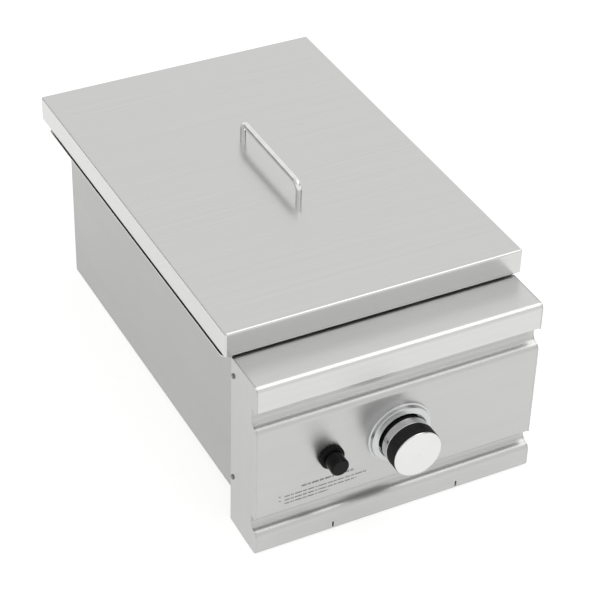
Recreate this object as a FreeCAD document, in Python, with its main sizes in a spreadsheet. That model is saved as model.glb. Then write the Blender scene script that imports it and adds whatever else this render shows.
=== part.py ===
import FreeCAD, Part
import math
import os
import Sketcher
from FreeCAD import Placement, Rotation, Vector

# A drop-in side burner. X runs across, Y runs back and Z runs up, and every length is in millimetres.
# The origin is under the middle of the whole unit, level with the foot of the front.
# The sub-parts are drawn with Y counted from the lid's front edge, and their placements move them back.
DRIVING_SIZES = {
    # lid
    "lid_inset": 0.8,
    "lid_back_overhang": 21.0,
    "lid_drop": 24.9,
    "lid_wall": 1.0,
    "lid_round": 2.0,
    "lid_hem": 9.0,
    "lid_gap": 2.3,
    "bumper_radius": 3.2,
    "bumper_neck": 1.5,
    "bumper_inset_front": 26.0,
    "bumper_inset_back": 46.0,
    # lid handle
    "handle_rod": 3.2,
    "handle_pitch": 122.0,
    "handle_rise": 19.5,
    "handle_bend": 8.0,
    "handle_screw": 2.0,
    "handle_screw_head": 4.2,
    "handle_screw_depth": 9.0,
    # front of the control box, from the foot up
    "wall": 1.2,
    "rail_height": 19.5,
    "curve_height": 13.6,
    "rail_gap": 8.5,
    "panel_height": 98.0,
    "shadow_gap": 12.0,
    "lip_height": 27.8,
    # front of the control box, from the lid forwards
    "front_overhang": 10.0,
    "front_reach": 50.5,
    "panel_recess": 10.4,
    "rail_reach": 52.7,
    "rail_recess": 11.2,
    "lip_bend": 5.5,
    "small_bend": 1.6,
    "rail_bend": 4.0,
    "rail_return": 22.7,
    "panel_top_flange": 11.0,
    "rail_lap": 14.0,
    "rail_slot_spread": 66.0,
    "rail_slot_half": 0.9,
    "rail_slot_top": 10.0,
    "rail_slot_back": 7.0,
    # box that hangs in the counter
    "body_width": 272.0,
    "body_depth": 405.0,
    "body_lift": 21.0,
    "bulkhead_back": 1.0,
    "box_flange": 8.0,
    "box_foot": 10.0,
    "frame_overhang": 17.3,
    "frame_front": 3.5,
    "frame_back_overhang": 14.0,
    "frame_front_round": 7.0,
    "frame_back_round": 5.0,
    "seam": 0.2,
    "bulkhead_side_flange": 11.0,
    "bulkhead_top_flange": 13.0,
    "rivet_inset": 4.5,
    "rivet_low": 56.5,
    "rivet_high": 175.0,
    "rivet_shank": 1.6,
    "rivet_head": 2.6,
    "rivet_rise": 1.1,
    "base_slot_inset": 23.0,
    "base_slot_half": 3.0,
    "base_slot_rows": 8,
    "base_slot_front": 40.0,
    "rear_slot_height": 34.0,
    "rear_slot_half": 2.5,
    "rear_slot_pitch": 18.0,
    "rear_slots": 9,
    "rear_slot_low": 132.0,
    "rear_screw": 2.0,
    "rear_screw_head": 3.6,
    "rear_screw_inset": 6.0,
    "rear_screw_low": 45.0,
    "rear_screw_high": 165.0,
    # drip pan
    "pan_wall": 1.0,
    "pan_side_gap": 9.3,
    "pan_front": 26.0,
    "pan_back_gap": 10.8,
    "pan_depth": 43.0,
    "pan_draft": 6.0,
    "pan_round": 22.0,
    "pan_lip": 7.5,
    "pan_clearance": 1.0,
    "pan_hole": 25.0,
    "pan_collar": 3.0,
    # cooking grate
    "grate_rod": 4.0,
    "grate_bar": 3.0,
    "grate_inset": 1.0,
    "grate_round": 24.0,
    "grate_end_gap": 34.0,
    "grate_bars": 11,
    "rest_gap": 0.3,
    # knob and igniter, from the panel's foot and its left edge
    "knob_rise": 52.9,
    "igniter_inset": 75.0,
    "igniter_rise": 50.4,
    # knob and bezel, heights from the face of the control panel
    "bezel_gap": 1.5,
    "bezel_face": 6.0,
    "bezel_flange": 2.0,
    "bezel_rise": 8.0,
    "bezel_slope": 1.4,
    "bezel_round": 0.5,
    "bezel_step": 2.4,
    "bezel_floor": 1.0,
    "bezel_hole": 8.5,
    "skirt_step": 1.4,
    "knob_clearance": 0.4,
    "skirt_hollow": 6.0,
    "skirt_wall": 2.0,
    "hub_radius": 7.0,
    "ring_start": 16.5,
    "ring_step": 0.5,
    "ring_wall": 3.4,
    "ring_width": 6.5,
    "ring_groove": 0.6,
    "grip_radius": 24.9,
    "grip_end": 35.0,
    "grip_grooves": 36,
    "grip_groove": 0.7,
    "cap_step": 0.7,
    "cap_rim": 1.2,
    "cap_dome": 0.8,
    "index_angle": 157.0,
    "set_screw": 1.5,
    # valve
    "stem_radius": 3.0,
    "stem_seat": 20.0,
    "stem_spring_closed": 6.0,
    "stem_fit": 0.05,
    "push_travel": 3.5,
    "valve_flange_width": 44.0,
    "valve_flange_height": 28.0,
    "valve_flange_wall": 2.5,
    "valve_radius": 12.0,
    "valve_length": 34.0,
    "valve_bore": 7.0,
    "valve_cover_length": 6.0,
    "valve_cover_snout": 5.5,
    "valve_core_length": 19.0,
    "outlet_radius": 7.0,
    "outlet_length": 8.0,
    "outlet_bore": 3.0,
    "gas_way": 1.5,
    "valve_screw_spread": 16.0,
    "valve_screw": 2.0,
    "valve_screw_head": 3.6,
    "inlet_drop": 22.0,
    "inlet_radius": 7.0,
    "inlet_reach": 26.0,
    "jet_radius": 4.4,
    "jet_hex": 3.5,
    "jet_nose": 3.2,
    "jet_reach": 8.0,
    "jet_hole": 0.6,
    "jet_gap": 3.0,
    # gas pipe
    "pipe_radius": 4.75,
    "pipe_bore": 3.9,
    "pipe_gap": 1.5,
    "pipe_side_gap": 22.8,
    "pipe_bend": 20.0,
    "nut_flats": 17.0,
    "nut_lap": 8.0,
    "nut_collar": 6.0,
    "clip_wall": 1.0,
    "clip_width": 12.0,
    "clip_front": 120.0,
    "clip_pitch": 180.0,
    "fitting_radius": 7.94,
    "fitting_flats": 22.0,
    "fitting_shank": 9.0,
    "fitting_relief": 1.0,
    "fitting_reach": 25.0,
    "fitting_cone": 5.0,
    "fitting_bore": 3.0,
    "fitting_collar": 8.0,
    "fitting_socket": 12.0,
    "locknut_height": 5.0,
    # venturi and air shutter
    "mouth_radius": 17.0,
    "tube_wall": 1.2,
    "mouth_start": 6.0,
    "mouth_length": 28.0,
    "cone_length": 18.0,
    "throat_radius": 11.0,
    "tube_bend": 30.0,
    "tube_rise": 40.0,
    "mouth_hole": 5.0,
    "window_half": 5.0,
    "window_start": 6.0,
    "window_length": 12.0,
    "shutter_wall": 1.2,
    "shutter_start": 2.0,
    "shutter_length": 23.0,
    "shutter_screw": 1.5,
    "shutter_screw_back": 20.5,
    # burner
    "fit": 0.05,
    "head_flange": 22.0,
    "head_flange_wall": 3.0,
    "head_neck": 15.0,
    "head_neck_rise": 27.5,
    "bowl_radius": 40.0,
    "bowl_rise": 10.0,
    "bowl_wall": 3.0,
    "bowl_flare": 8.0,
    "crown_radius": 44.0,
    "crown_wall": 6.0,
    "crown_height": 9.5,
    "port_half": 0.9,
    "port_depth": 4.6,
    "ports": 36,
    "cap_overhang": 2.0,
    "cap_edge": 3.0,
    "cap_crown": 3.2,
    "cap_ring_depth": 3.6,
    "cap_ring_gap": 0.6,
    "cap_ring_wall": 3.0,
    "bracket_wall": 1.5,
    "bracket_half": 30.0,
    "bracket_foot": 14.0,
    "bracket_depth": 44.0,
    "bracket_hole": 12.0,
    "burner_screw_spread": 18.5,
    "burner_screw": 2.0,
    "burner_screw_head": 3.2,
    # spark electrode
    "spark_gap": 2.5,
    "rod_radius": 1.0,
    "insulator_radius": 3.2,
    "insulator_collar": 5.0,
    "insulator_above": 11.0,
    "insulator_below": 14.0,
    "electrode_nut_flats": 11.0,
    "electrode_nut_height": 4.0,
    # igniter
    "igniter_neck": 10.6,
    "igniter_neck_front": 6.4,
    "igniter_nut_radius": 12.2,
    "igniter_nut_height": 6.0,
    "igniter_ribs": 18,
    "igniter_rib_cut": 0.9,
    "igniter_hole_gap": 0.2,
    "igniter_shoulder": 13.0,
    "igniter_shoulder_wall": 2.0,
    "igniter_barrel": 11.2,
    "igniter_spring_closed": 6.5,
    "igniter_end_wall": 3.0,
    "button_radius": 9.2,
    "button_gap": 0.1,
    "button_front": 20.5,
    "button_back": 2.0,
    "button_round": 2.0,
    "button_top_wall": 3.5,
    "battery_radius": 5.2,
    "battery_length": 44.5,
    "battery_nub": 2.7,
    "battery_nub_height": 1.2,
    "button_travel": 3.0,
    "terminal_width": 4.8,
    "terminal_wall": 0.8,
    "terminal_length": 6.0,
    "terminal_spread": 5.0,
}

HEXAGON_SIDE = 1 / math.sqrt(3)


class Size:
    """A length, with the spreadsheet formula that works it out."""

    def __init__(self, value, formula):
        self.value = value
        self.formula = formula

    def __add__(self, other):
        other = as_size(other)
        return Size(self.value + other.value, f"({self.formula} + {other.formula})")

    def __sub__(self, other):
        other = as_size(other)
        return Size(self.value - other.value, f"({self.formula} - {other.formula})")

    def __mul__(self, other):
        other = as_size(other)
        return Size(self.value * other.value, f"({self.formula} * {other.formula})")

    def __truediv__(self, other):
        other = as_size(other)
        return Size(self.value / other.value, f"({self.formula} / {other.formula})")

    def __neg__(self):
        return Size(-self.value, f"(-{self.formula})")


def as_size(length):
    """Gives a plain number the same form as a size of the sheet."""
    if isinstance(length, Size):
        return length
    return Size(float(length), f"({float(length)})")


class SizeSheet:
    """The driving sizes in a spreadsheet, read by their names."""

    def __init__(self, document, numbers):
        self.table = document.addObject("Spreadsheet::Sheet", "Sizes")
        for row, (name, number) in enumerate(numbers.items(), start=1):
            self.table.set(f"A{row}", name)
            self.table.set(f"B{row}", str(number))
            self.table.setAlias(f"B{row}", name)
        document.recompute()

    def __getattr__(self, name):
        return Size(float(self.table.get(name)), f"Sizes.{name}")


doc = FreeCAD.newDocument("SideBurner")
S = SizeSheet(doc, DRIVING_SIZES)
nodes = {}

# heights
deck = (S.rail_height + S.curve_height + S.rail_gap + S.panel_height + S.curve_height + S.shadow_gap
        + S.lip_height)
flange_top = deck - S.wall
lid_bottom = deck + S.lid_gap
lid_top = lid_bottom + S.lid_drop
base_top = S.body_lift + S.wall
pan_floor = deck - S.pan_depth
lip_bottom = deck - S.lip_height
panel_foot = S.rail_height + S.curve_height + S.rail_gap
knob_height = panel_foot + S.knob_rise
igniter_height = panel_foot + S.igniter_rise
bracket_top = knob_height + S.tube_bend
head_neck_top = bracket_top + S.head_neck_rise
crown_base = head_neck_top + S.bowl_rise
crown_top = crown_base + S.crown_height

# half widths
body_half = S.body_width / 2
body_inside = body_half - S.wall
frame_half = body_half + S.frame_overhang
lid_half = frame_half - S.lid_inset
front_half = body_half + S.front_overhang
fascia_half = front_half - S.wall
pan_half = body_inside - S.pan_side_gap
pipe_across = body_inside - S.pipe_side_gap
igniter_across = -front_half + S.igniter_inset

# depths, counted from the lid's front edge
panel_face = -S.front_reach
panel_back = panel_face + S.wall
body_back = S.bulkhead_back + S.body_depth
rear_inside = body_back - S.wall
frame_back = body_back + S.frame_back_overhang
lid_depth = frame_back + S.lid_back_overhang
pan_back = rear_inside - S.pan_back_gap
burner_depth = (S.pan_front + pan_back) / 2
knob_end = S.grip_end + S.cap_rim + S.cap_dome
lid_front = (S.front_reach + knob_end - lid_depth) / 2

# Outlines and features


class Corner:
    """A corner of an outline. An arc leads to it where a centre is given."""

    def __init__(self, across, up, centre=None, clockwise=False):
        self.across = as_size(across)
        self.up = as_size(up)
        self.centre = centre and (as_size(centre[0]), as_size(centre[1]))
        self.clockwise = clockwise

    def point(self):
        return Vector(self.across.value, self.up.value, 0)


class Circle:
    """A whole circle in a sketch."""

    def __init__(self, across, up, radius):
        self.across = as_size(across)
        self.up = as_size(up)
        self.radius = as_size(radius)


def arc_geometry(start, end, centre, clockwise):
    """The arc from start to end about centre."""
    first = start - centre
    last = end - centre
    if clockwise:
        first, last = last, first
    from_angle = math.atan2(first.y, first.x)
    to_angle = math.atan2(last.y, last.x)
    if to_angle <= from_angle:
        to_angle += 2 * math.pi
    circle = Part.Circle(centre, Vector(0, 0, 1), first.Length)
    return Part.ArcOfCircle(circle, from_angle, to_angle)


def hold_point(sketch, edge, point, across, up):
    """Fixes a point of the sketch at two sizes."""
    pairs = (("DistanceX", across), ("DistanceY", up))
    for kind, length in pairs:
        if length is None:
            continue
        index = sketch.addConstraint(Sketcher.Constraint(kind, -1, 1, edge, point, length.value))
        if "Sizes." in length.formula:
            sketch.setExpression(f"Constraints[{index}]", length.formula)


def draw_outline(sketch, corners, closed=True):
    """Draws lines and arcs from corner to corner and ties each corner to its sizes."""
    count = len(corners)
    first_edge = sketch.GeometryCount
    edge_ends = []
    for index in range(count if closed else count - 1):
        start = corners[index]
        end = corners[(index + 1) % count]
        edge = first_edge + index
        if end.centre is None:
            sketch.addGeometry(Part.LineSegment(start.point(), end.point()), False)
            edge_ends.append((edge, 1, 2))
            continue
        centre = Vector(end.centre[0].value, end.centre[1].value, 0)
        sketch.addGeometry(arc_geometry(start.point(), end.point(), centre, end.clockwise), False)
        edge_ends.append((edge, 2, 1) if end.clockwise else (edge, 1, 2))
    joins = len(edge_ends) if closed else len(edge_ends) - 1
    for index in range(joins):
        edge, _, end_point = edge_ends[index]
        next_edge, next_start, _ = edge_ends[(index + 1) % len(edge_ends)]
        sketch.addConstraint(Sketcher.Constraint("Coincident", edge, end_point, next_edge, next_start))
    for (edge, start_point, _), corner in zip(edge_ends, corners):
        hold_point(sketch, edge, start_point, corner.across, corner.up)
    if not closed:
        edge, _, end_point = edge_ends[-1]
        hold_point(sketch, edge, end_point, corners[-1].across, corners[-1].up)
    for index, (edge, _, _) in enumerate(edge_ends):
        end = corners[(index + 1) % count]
        if end.centre is None:
            continue
        chord = end.point() - corners[index].point()
        if abs(chord.x) > abs(chord.y):
            hold_point(sketch, edge, 3, None, end.centre[1])
        else:
            hold_point(sketch, edge, 3, end.centre[0], None)


def draw_circle(sketch, circle):
    """Draws a circle and ties its centre and radius to their sizes."""
    centre = Vector(circle.across.value, circle.up.value, 0)
    edge = sketch.addGeometry(Part.Circle(centre, Vector(0, 0, 1), circle.radius.value), False)
    hold_point(sketch, edge, 3, circle.across, circle.up)
    index = sketch.addConstraint(Sketcher.Constraint("Radius", edge, circle.radius.value))
    sketch.setExpression(f"Constraints[{index}]", circle.radius.formula)


def origin_feature(body, role):
    """The body's own origin plane or axis with this role."""
    for feature in body.Origin.OriginFeatures:
        if feature.Role == role:
            return feature
    raise KeyError(role)


def sketch_on(body, plane, at, shapes, closed=True):
    """A sketch in one of the body's origin planes, moved to a place along the plane's axis."""
    sketch = body.newObject("Sketcher::SketchObject", f"{body.Name}_sketch")
    sketch.AttachmentSupport = [(origin_feature(body, f"{plane}_Plane"), "")]
    sketch.MapMode = "FlatFace"
    lift = -as_size(at) if plane == "XZ" else as_size(at)
    sketch.AttachmentOffset = Placement(Vector(0, 0, lift.value), Rotation())
    sketch.setExpression("AttachmentOffset.Base.z", lift.formula)
    for shape in shapes:
        if isinstance(shape, Circle):
            draw_circle(sketch, shape)
        else:
            draw_outline(sketch, shape, closed)
    return sketch


def new_body(name):
    """An empty sub-part with its own label."""
    body = doc.addObject("PartDesign::Body", name)
    body.Label = name
    body.AllowCompound = True
    nodes[name] = body
    return body


def place(body, across=0, depth=0, height=0, facing="up", spin=0.0):
    """Puts a sub-part in the unit; facing front turns its own Z towards the cook."""
    turn = Rotation(Vector(1, 0, 0), 90) if facing == "front" else Rotation()
    turn = turn.multiply(Rotation(Vector(0, 0, 1), spin))
    base = (as_size(across), lid_front + depth, as_size(height))
    body.Placement = Placement(Vector(*(length.value for length in base)), turn)
    for axis, length in zip("xyz", base):
        body.setExpression(f"Placement.Base.{axis}", length.formula)


def add(body, plane, low, high, *shapes):
    """Adds material with these outlines between two places along the plane's axis."""
    at = high if plane == "XZ" else low
    pad = body.newObject("PartDesign::Pad", f"{body.Name}_pad")
    pad.Profile = sketch_on(body, plane, at, shapes)
    length = as_size(high) - low
    pad.Length = length.value
    pad.setExpression("Length", length.formula)
    return pad


def cut(body, plane, low, high, *shapes):
    """Takes these outlines out between two places along the plane's axis."""
    at = low if plane == "XZ" else high
    pocket = body.newObject("PartDesign::Pocket", f"{body.Name}_pocket")
    pocket.Profile = sketch_on(body, plane, at, shapes)
    length = as_size(high) - low
    pocket.Length = length.value
    pocket.setExpression("Length", length.formula)
    return pocket


def turn_about_z(body, feature_type, outline):
    """Turns a half outline, drawn as radius and height, about the body's Z axis."""
    turned = body.newObject(feature_type, f"{body.Name}_turned")
    sketch = sketch_on(body, "XZ", 0, [outline])
    turned.Profile = sketch
    turned.ReferenceAxis = (sketch, ["V_Axis"])
    turned.Angle = 360
    return turned


def turned(body, outline):
    return turn_about_z(body, "PartDesign::Revolution", outline)


def turned_cut(body, outline):
    return turn_about_z(body, "PartDesign::Groove", outline)


def swept(body, feature_type, spine, profile):
    """Sweeps a profile sketch along every edge of a spine sketch."""
    pipe = body.newObject(feature_type, f"{body.Name}_pipe")
    pipe.Profile = profile
    pipe.Spine = (spine, [f"Edge{index + 1}" for index in range(spine.GeometryCount)])
    return pipe


def lofted(body, feature_type, first, last):
    """Joins two sketched sections with straight walls."""
    loft = body.newObject(feature_type, f"{body.Name}_loft")
    loft.Profile = first
    loft.Sections = [last]
    loft.Ruled = True
    return loft


def around(body, feature, count, axis="Z_Axis"):
    """Repeats a feature in a full ring."""
    pattern = body.newObject("PartDesign::PolarPattern", f"{body.Name}_ring")
    pattern.Originals = [feature]
    pattern.Axis = (origin_feature(body, axis), [""])
    pattern.Angle = 360
    pattern.Occurrences = int(count.value)
    pattern.setExpression("Occurrences", count.formula)
    body.Tip = pattern
    return pattern


def along(body, feature, axis, pitch, count):
    """Repeats a feature in a row."""
    length = as_size(pitch) * (as_size(count) - 1)
    pattern = body.newObject("PartDesign::LinearPattern", f"{body.Name}_row")
    pattern.Originals = [feature]
    pattern.Direction = (origin_feature(body, axis), [""])
    pattern.Length = length.value
    pattern.setExpression("Length", length.formula)
    pattern.Occurrences = int(as_size(count).value)
    pattern.setExpression("Occurrences", as_size(count).formula)
    body.Tip = pattern
    return pattern


def round_edges(body, radius, chosen):
    """Rounds the edges for which chosen(edge) holds."""
    doc.recompute()
    base = body.Tip
    names = [f"Edge{index + 1}" for index, edge in enumerate(base.Shape.Edges) if chosen(edge)]
    fillet = body.newObject("PartDesign::Fillet", f"{body.Name}_fillet")
    fillet.Base = (base, names)
    fillet.Radius = radius.value
    fillet.setExpression("Radius", radius.formula)
    return fillet


def box(left, low, right, high):
    """A rectangle in a sketch."""
    return [Corner(left, low), Corner(right, low), Corner(right, high), Corner(left, high)]


def rounded_box(left, low, right, high, low_round, high_round):
    """A rectangle whose two low and two high corners are rounded."""
    left, low, right, high = (as_size(length) for length in (left, low, right, high))
    return [
        Corner(left + low_round, low, (left + low_round, low + low_round)),
        Corner(right - low_round, low),
        Corner(right, low + low_round, (right - low_round, low + low_round)),
        Corner(right, high - high_round),
        Corner(right - high_round, high, (right - high_round, high - high_round)),
        Corner(left + high_round, high),
        Corner(left, high - high_round, (left + high_round, high - high_round)),
        Corner(left, low + low_round),
    ]


def hexagon(across, up, flats):
    """A hexagon with two flat sides facing along the sketch's second axis."""
    half = flats / 2
    side = flats * HEXAGON_SIDE
    across = as_size(across)
    up = as_size(up)
    return [
        Corner(across + side, up),
        Corner(across + side / 2, up + half),
        Corner(across - side / 2, up + half),
        Corner(across - side, up),
        Corner(across - side / 2, up - half),
        Corner(across + side / 2, up - half),
    ]


def upright_slot(across, low, high, half):
    """A slot with round ends that stands along the sketch's second axis."""
    across = as_size(across)
    low = as_size(low) + half
    high = as_size(high) - half
    return [
        Corner(across + half, low, (across, low)),
        Corner(across + half, high),
        Corner(across - half, high, (across, high)),
        Corner(across - half, low),
    ]


class Bend:
    """A point on a folded sheet's outer face, with the outward direction there."""

    def __init__(self, depth, height, outward, centre=None, clockwise=False):
        self.depth = as_size(depth)
        self.height = as_size(height)
        self.outward = (as_size(outward[0]), as_size(outward[1]))
        self.centre = centre
        self.clockwise = clockwise


def curve_down(depth, height, forward, drop):
    """An S curve that runs down and forwards: its middle point and its end point."""
    across = forward / 2
    down = drop / 2
    radius = (across * across + down * down) / (across * 2)
    upper_centre = (depth - radius, height)
    lower_centre = (depth - forward + radius, height - drop)
    outward = (
        (upper_centre[0] - lower_centre[0]) / (radius * 2),
        (upper_centre[1] - lower_centre[1]) / (radius * 2),
    )
    middle = Bend(depth - across, height - down, outward, upper_centre, clockwise=True)
    end = Bend(depth - forward, height - drop, (-1, 0), lower_centre)
    return [middle, end]


def folded_sheet(path, wall):
    """The closed outline of a sheet whose outer face follows the path."""
    outer = [Corner(bend.depth, bend.height, bend.centre, bend.clockwise) for bend in path]
    inner = []
    for index in range(len(path) - 1, -1, -1):
        bend = path[index]
        following = path[index + 1] if index + 1 < len(path) else None
        depth = bend.depth - wall * bend.outward[0]
        height = bend.height - wall * bend.outward[1]
        centre = following.centre if following else None
        clockwise = bool(following and not following.clockwise)
        inner.append(Corner(depth, height, centre, clockwise))
    return outer + inner


UP = (0, 1)
FORWARD = (-1, 0)
DOWN = (0, -1)


def front_corner(depth, height, radius):
    """The bend from a top face to a front face."""
    return [
        Bend(depth + radius, height, UP),
        Bend(depth, height - radius, FORWARD, (depth + radius, height - radius)),
    ]


def foot_corner(depth, height, radius):
    """The bend from a front face to an underside."""
    return [
        Bend(depth, height + radius, FORWARD),
        Bend(depth + radius, height, DOWN, (depth + radius, height + radius)),
    ]


# Front of the control box

panel_curve_top = lip_bottom - S.shadow_gap
panel_wall = panel_face + S.panel_recess
rail_face = -S.rail_reach
rail_wall = rail_face + S.rail_recess
rail_curve_top = S.rail_height + S.curve_height


def make_top_ledge():
    """The ledge in front of the lid, with its rounded front and upright lip."""
    body = new_body("top_ledge")
    path = [Bend(S.frame_front - S.seam, deck, UP)]
    path += front_corner(panel_face, deck, S.lip_bend)
    path += foot_corner(panel_face, lip_bottom, S.small_bend)
    path.append(Bend(panel_wall, lip_bottom, DOWN))
    add(body, "YZ", -fascia_half, fascia_half, folded_sheet(path, S.wall))
    place(body)


def make_control_panel():
    """The panel that carries the knob and the igniter, curved back under the lip."""
    body = new_body("control_panel")
    path = [Bend(panel_wall + S.panel_top_flange, flange_top, UP)]
    path += front_corner(panel_wall, flange_top, S.small_bend)
    path.append(Bend(panel_wall, panel_curve_top, FORWARD))
    path += curve_down(panel_wall, panel_curve_top, S.panel_recess, S.curve_height)
    path += foot_corner(panel_face, panel_foot, S.small_bend)
    path.append(Bend(rail_wall, panel_foot, DOWN))
    add(body, "YZ", -fascia_half, fascia_half, folded_sheet(path, S.wall))
    cut(body, "XZ", panel_face, panel_back,
        Circle(0, knob_height, S.valve_cover_snout + S.fit),
        Circle(S.valve_screw_spread, knob_height, S.valve_screw),
        Circle(-S.valve_screw_spread, knob_height, S.valve_screw),
        Circle(igniter_across, igniter_height, S.igniter_neck + S.igniter_hole_gap))
    place(body)


def make_bottom_rail():
    """The rail along the foot, with the same curve, a rounded foot and two drain slots."""
    body = new_body("bottom_rail")
    path = [Bend(rail_wall, panel_foot + S.rail_lap, FORWARD), Bend(rail_wall, rail_curve_top, FORWARD)]
    path += curve_down(rail_wall, rail_curve_top, S.rail_recess, S.curve_height)
    path += foot_corner(rail_face, as_size(0), S.rail_bend)
    path.append(Bend(rail_face + S.rail_return, 0, DOWN))
    add(body, "YZ", -fascia_half, fascia_half, folded_sheet(path, S.wall))
    for side in (-1, 1):
        middle = S.rail_slot_spread * side
        slot = box(rail_face, 0, rail_face + S.rail_slot_back, S.rail_slot_top)
        cut(body, "YZ", middle - S.rail_slot_half, middle + S.rail_slot_half, slot)
    place(body)


def make_end_panel(name, side):
    """An end plate with the same outline as the folded sheets between the pair."""
    body = new_body(name)
    panel_bends = curve_down(panel_wall, panel_curve_top, S.panel_recess, S.curve_height)
    rail_bends = curve_down(rail_wall, rail_curve_top, S.rail_recess, S.curve_height)
    path = [Bend(S.bulkhead_back, deck, UP)]
    path += front_corner(panel_face, deck, S.lip_bend)
    path += [Bend(panel_face, lip_bottom, FORWARD), Bend(panel_wall, lip_bottom, FORWARD)]
    path += [Bend(panel_wall, panel_curve_top, FORWARD)] + panel_bends
    path += [Bend(panel_face, panel_foot, FORWARD), Bend(rail_wall, panel_foot, FORWARD)]
    path += [Bend(rail_wall, rail_curve_top, FORWARD)] + rail_bends
    path += foot_corner(rail_face, as_size(0), S.rail_bend)
    path.append(Bend(S.bulkhead_back, 0, DOWN))
    outline = [Corner(bend.depth, bend.height, bend.centre, bend.clockwise) for bend in path]
    low, high = (fascia_half, front_half) if side > 0 else (-front_half, -fascia_half)
    holes = [Circle(S.bulkhead_back - S.rivet_inset, height, S.rivet_shank)
             for height in (S.rivet_low, S.rivet_high)]
    add(body, "YZ", low, high, outline, *holes)
    place(body)


def make_end_rivets():
    """Two domed rivets at each end, through the end plate and the bulkhead's flange."""
    body = new_body("end_rivets")
    depth = S.bulkhead_back - S.rivet_inset
    grip = fascia_half - S.wall - S.rivet_rise / 2
    for height in (S.rivet_low, S.rivet_high):
        for low, high in ((grip, front_half), (-front_half, -grip)):
            add(body, "YZ", low, high, Circle(depth, height, S.rivet_shank))
        for low, high in ((front_half, front_half + S.rivet_rise), (-front_half - S.rivet_rise, -front_half)):
            add(body, "YZ", low, high, Circle(depth, height, S.rivet_head))
    limit = front_half.value + S.rivet_rise.value
    round_edges(body, S.rivet_rise * 0.6,
                lambda edge: len(edge.Vertexes) == 1 and abs(abs(edge.CenterOfMass.x) - limit) < 1e-6)
    place(body)


# Box


def make_front_bulkhead():
    """The wall between the control box and the hot box, flanged on three sides."""
    body = new_body("front_bulkhead")
    front = S.bulkhead_back - S.wall
    holes = [
        Circle(0, knob_height, S.jet_nose + S.jet_gap),
        Circle(pipe_across, knob_height, S.pipe_radius + S.pipe_gap),
        Circle(igniter_across, igniter_height, S.insulator_radius),
    ]
    add(body, "XZ", front, S.bulkhead_back, box(-fascia_half, base_top, fascia_half, flange_top), *holes)
    add(body, "XY", flange_top - S.wall, flange_top,
        box(-body_inside + S.seam, front, body_inside - S.seam, S.bulkhead_back + S.bulkhead_top_flange))
    flange = box(front - S.bulkhead_side_flange, base_top, front, flange_top - S.box_flange)
    rivets = [Circle(S.bulkhead_back - S.rivet_inset, height, S.rivet_shank)
              for height in (S.rivet_low, S.rivet_high)]
    for low, high in ((fascia_half - S.wall, fascia_half), (-fascia_half, -fascia_half + S.wall)):
        add(body, "YZ", low, high, flange, *rivets)
    place(body)


def make_side_panel(name, side):
    """A side wall of the hot box, with a flange out under the frame and a foot on the base."""
    body = new_body(name)
    wall_out = body_half * side
    wall_in = body_inside * side
    flange_out = (body_half + S.box_flange) * side
    foot_in = (body_inside - S.box_foot) * side
    outline = [
        Corner(foot_in, base_top),
        Corner(wall_out, base_top),
        Corner(wall_out, flange_top - S.wall),
        Corner(flange_out, flange_top - S.wall),
        Corner(flange_out, flange_top),
        Corner(wall_in, flange_top),
        Corner(wall_in, base_top + S.wall),
        Corner(foot_in, base_top + S.wall),
    ]
    add(body, "XZ", S.bulkhead_back, rear_inside, outline)
    left, right = (foot_in, wall_in) if side > 0 else (wall_in, foot_in)
    screw = (body_inside - S.rear_screw_inset) * side
    screws = [Circle(screw, height, S.rear_screw) for height in (S.rear_screw_low, S.rear_screw_high)]
    add(body, "XZ", rear_inside - S.wall, rear_inside,
        box(left, base_top + S.wall, right, flange_top - S.box_foot), *screws)
    place(body)


def make_rear_panel():
    """The back of the hot box, with vent slots and the hole for the gas fitting."""
    body = new_body("rear_panel")
    holes = [Circle(pipe_across, knob_height, S.fitting_shank)]
    for side in (-1, 1):
        across = (body_inside - S.rear_screw_inset) * side
        holes += [Circle(across, height, S.rear_screw) for height in (S.rear_screw_low, S.rear_screw_high)]
    add(body, "XZ", rear_inside, body_back, box(-body_half, base_top, body_half, flange_top), *holes)
    add(body, "XY", flange_top - S.wall, flange_top,
        box(-body_half, rear_inside, body_half, body_back + S.box_flange))
    first = S.rear_slot_pitch * (S.rear_slots - 1) / -2
    slot = upright_slot(first, S.rear_slot_low, S.rear_slot_low + S.rear_slot_height, S.rear_slot_half)
    vent = cut(body, "XZ", rear_inside, body_back, slot)
    along(body, vent, "X_Axis", S.rear_slot_pitch, S.rear_slots)
    place(body)


def make_base_panel():
    """The floor of the hot box, with two banks of vent slots."""
    body = new_body("base_panel")
    add(body, "XY", S.body_lift, base_top,
        box(-body_half, S.bulkhead_back - S.wall, body_half, body_back))
    low = S.base_slot_front
    width = S.base_slot_half * 2
    pitch = (body_back - low * 2 - width) / (S.base_slot_rows - 1)
    for side in (-1, 1):
        middle = body_half / 2 * side
        half = body_half / 2 - S.base_slot_inset
        vent = cut(body, "XY", S.body_lift, base_top, box(middle - half, low, middle + half, low + width))
        along(body, vent, "Y_Axis", pitch, S.base_slot_rows)
    place(body)


def make_rear_screws():
    """Four screws that hold the back to the side walls."""
    body = new_body("rear_screws")
    places = [((body_inside - S.rear_screw_inset) * side, height)
              for side in (-1, 1) for height in (S.rear_screw_low, S.rear_screw_high)]
    add(body, "XZ", rear_inside - S.wall * 2, body_back,
        *[Circle(across, height, S.rear_screw) for across, height in places])
    add(body, "XZ", body_back, body_back + S.rear_screw,
        *[Circle(across, height, S.rear_screw_head) for across, height in places])
    limit = body_back.value + S.rear_screw.value
    round_edges(body, S.rear_screw * 0.4,
                lambda edge: len(edge.Vertexes) == 1 and abs(edge.CenterOfMass.y - limit) < 1e-6)
    place(body)


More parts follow.
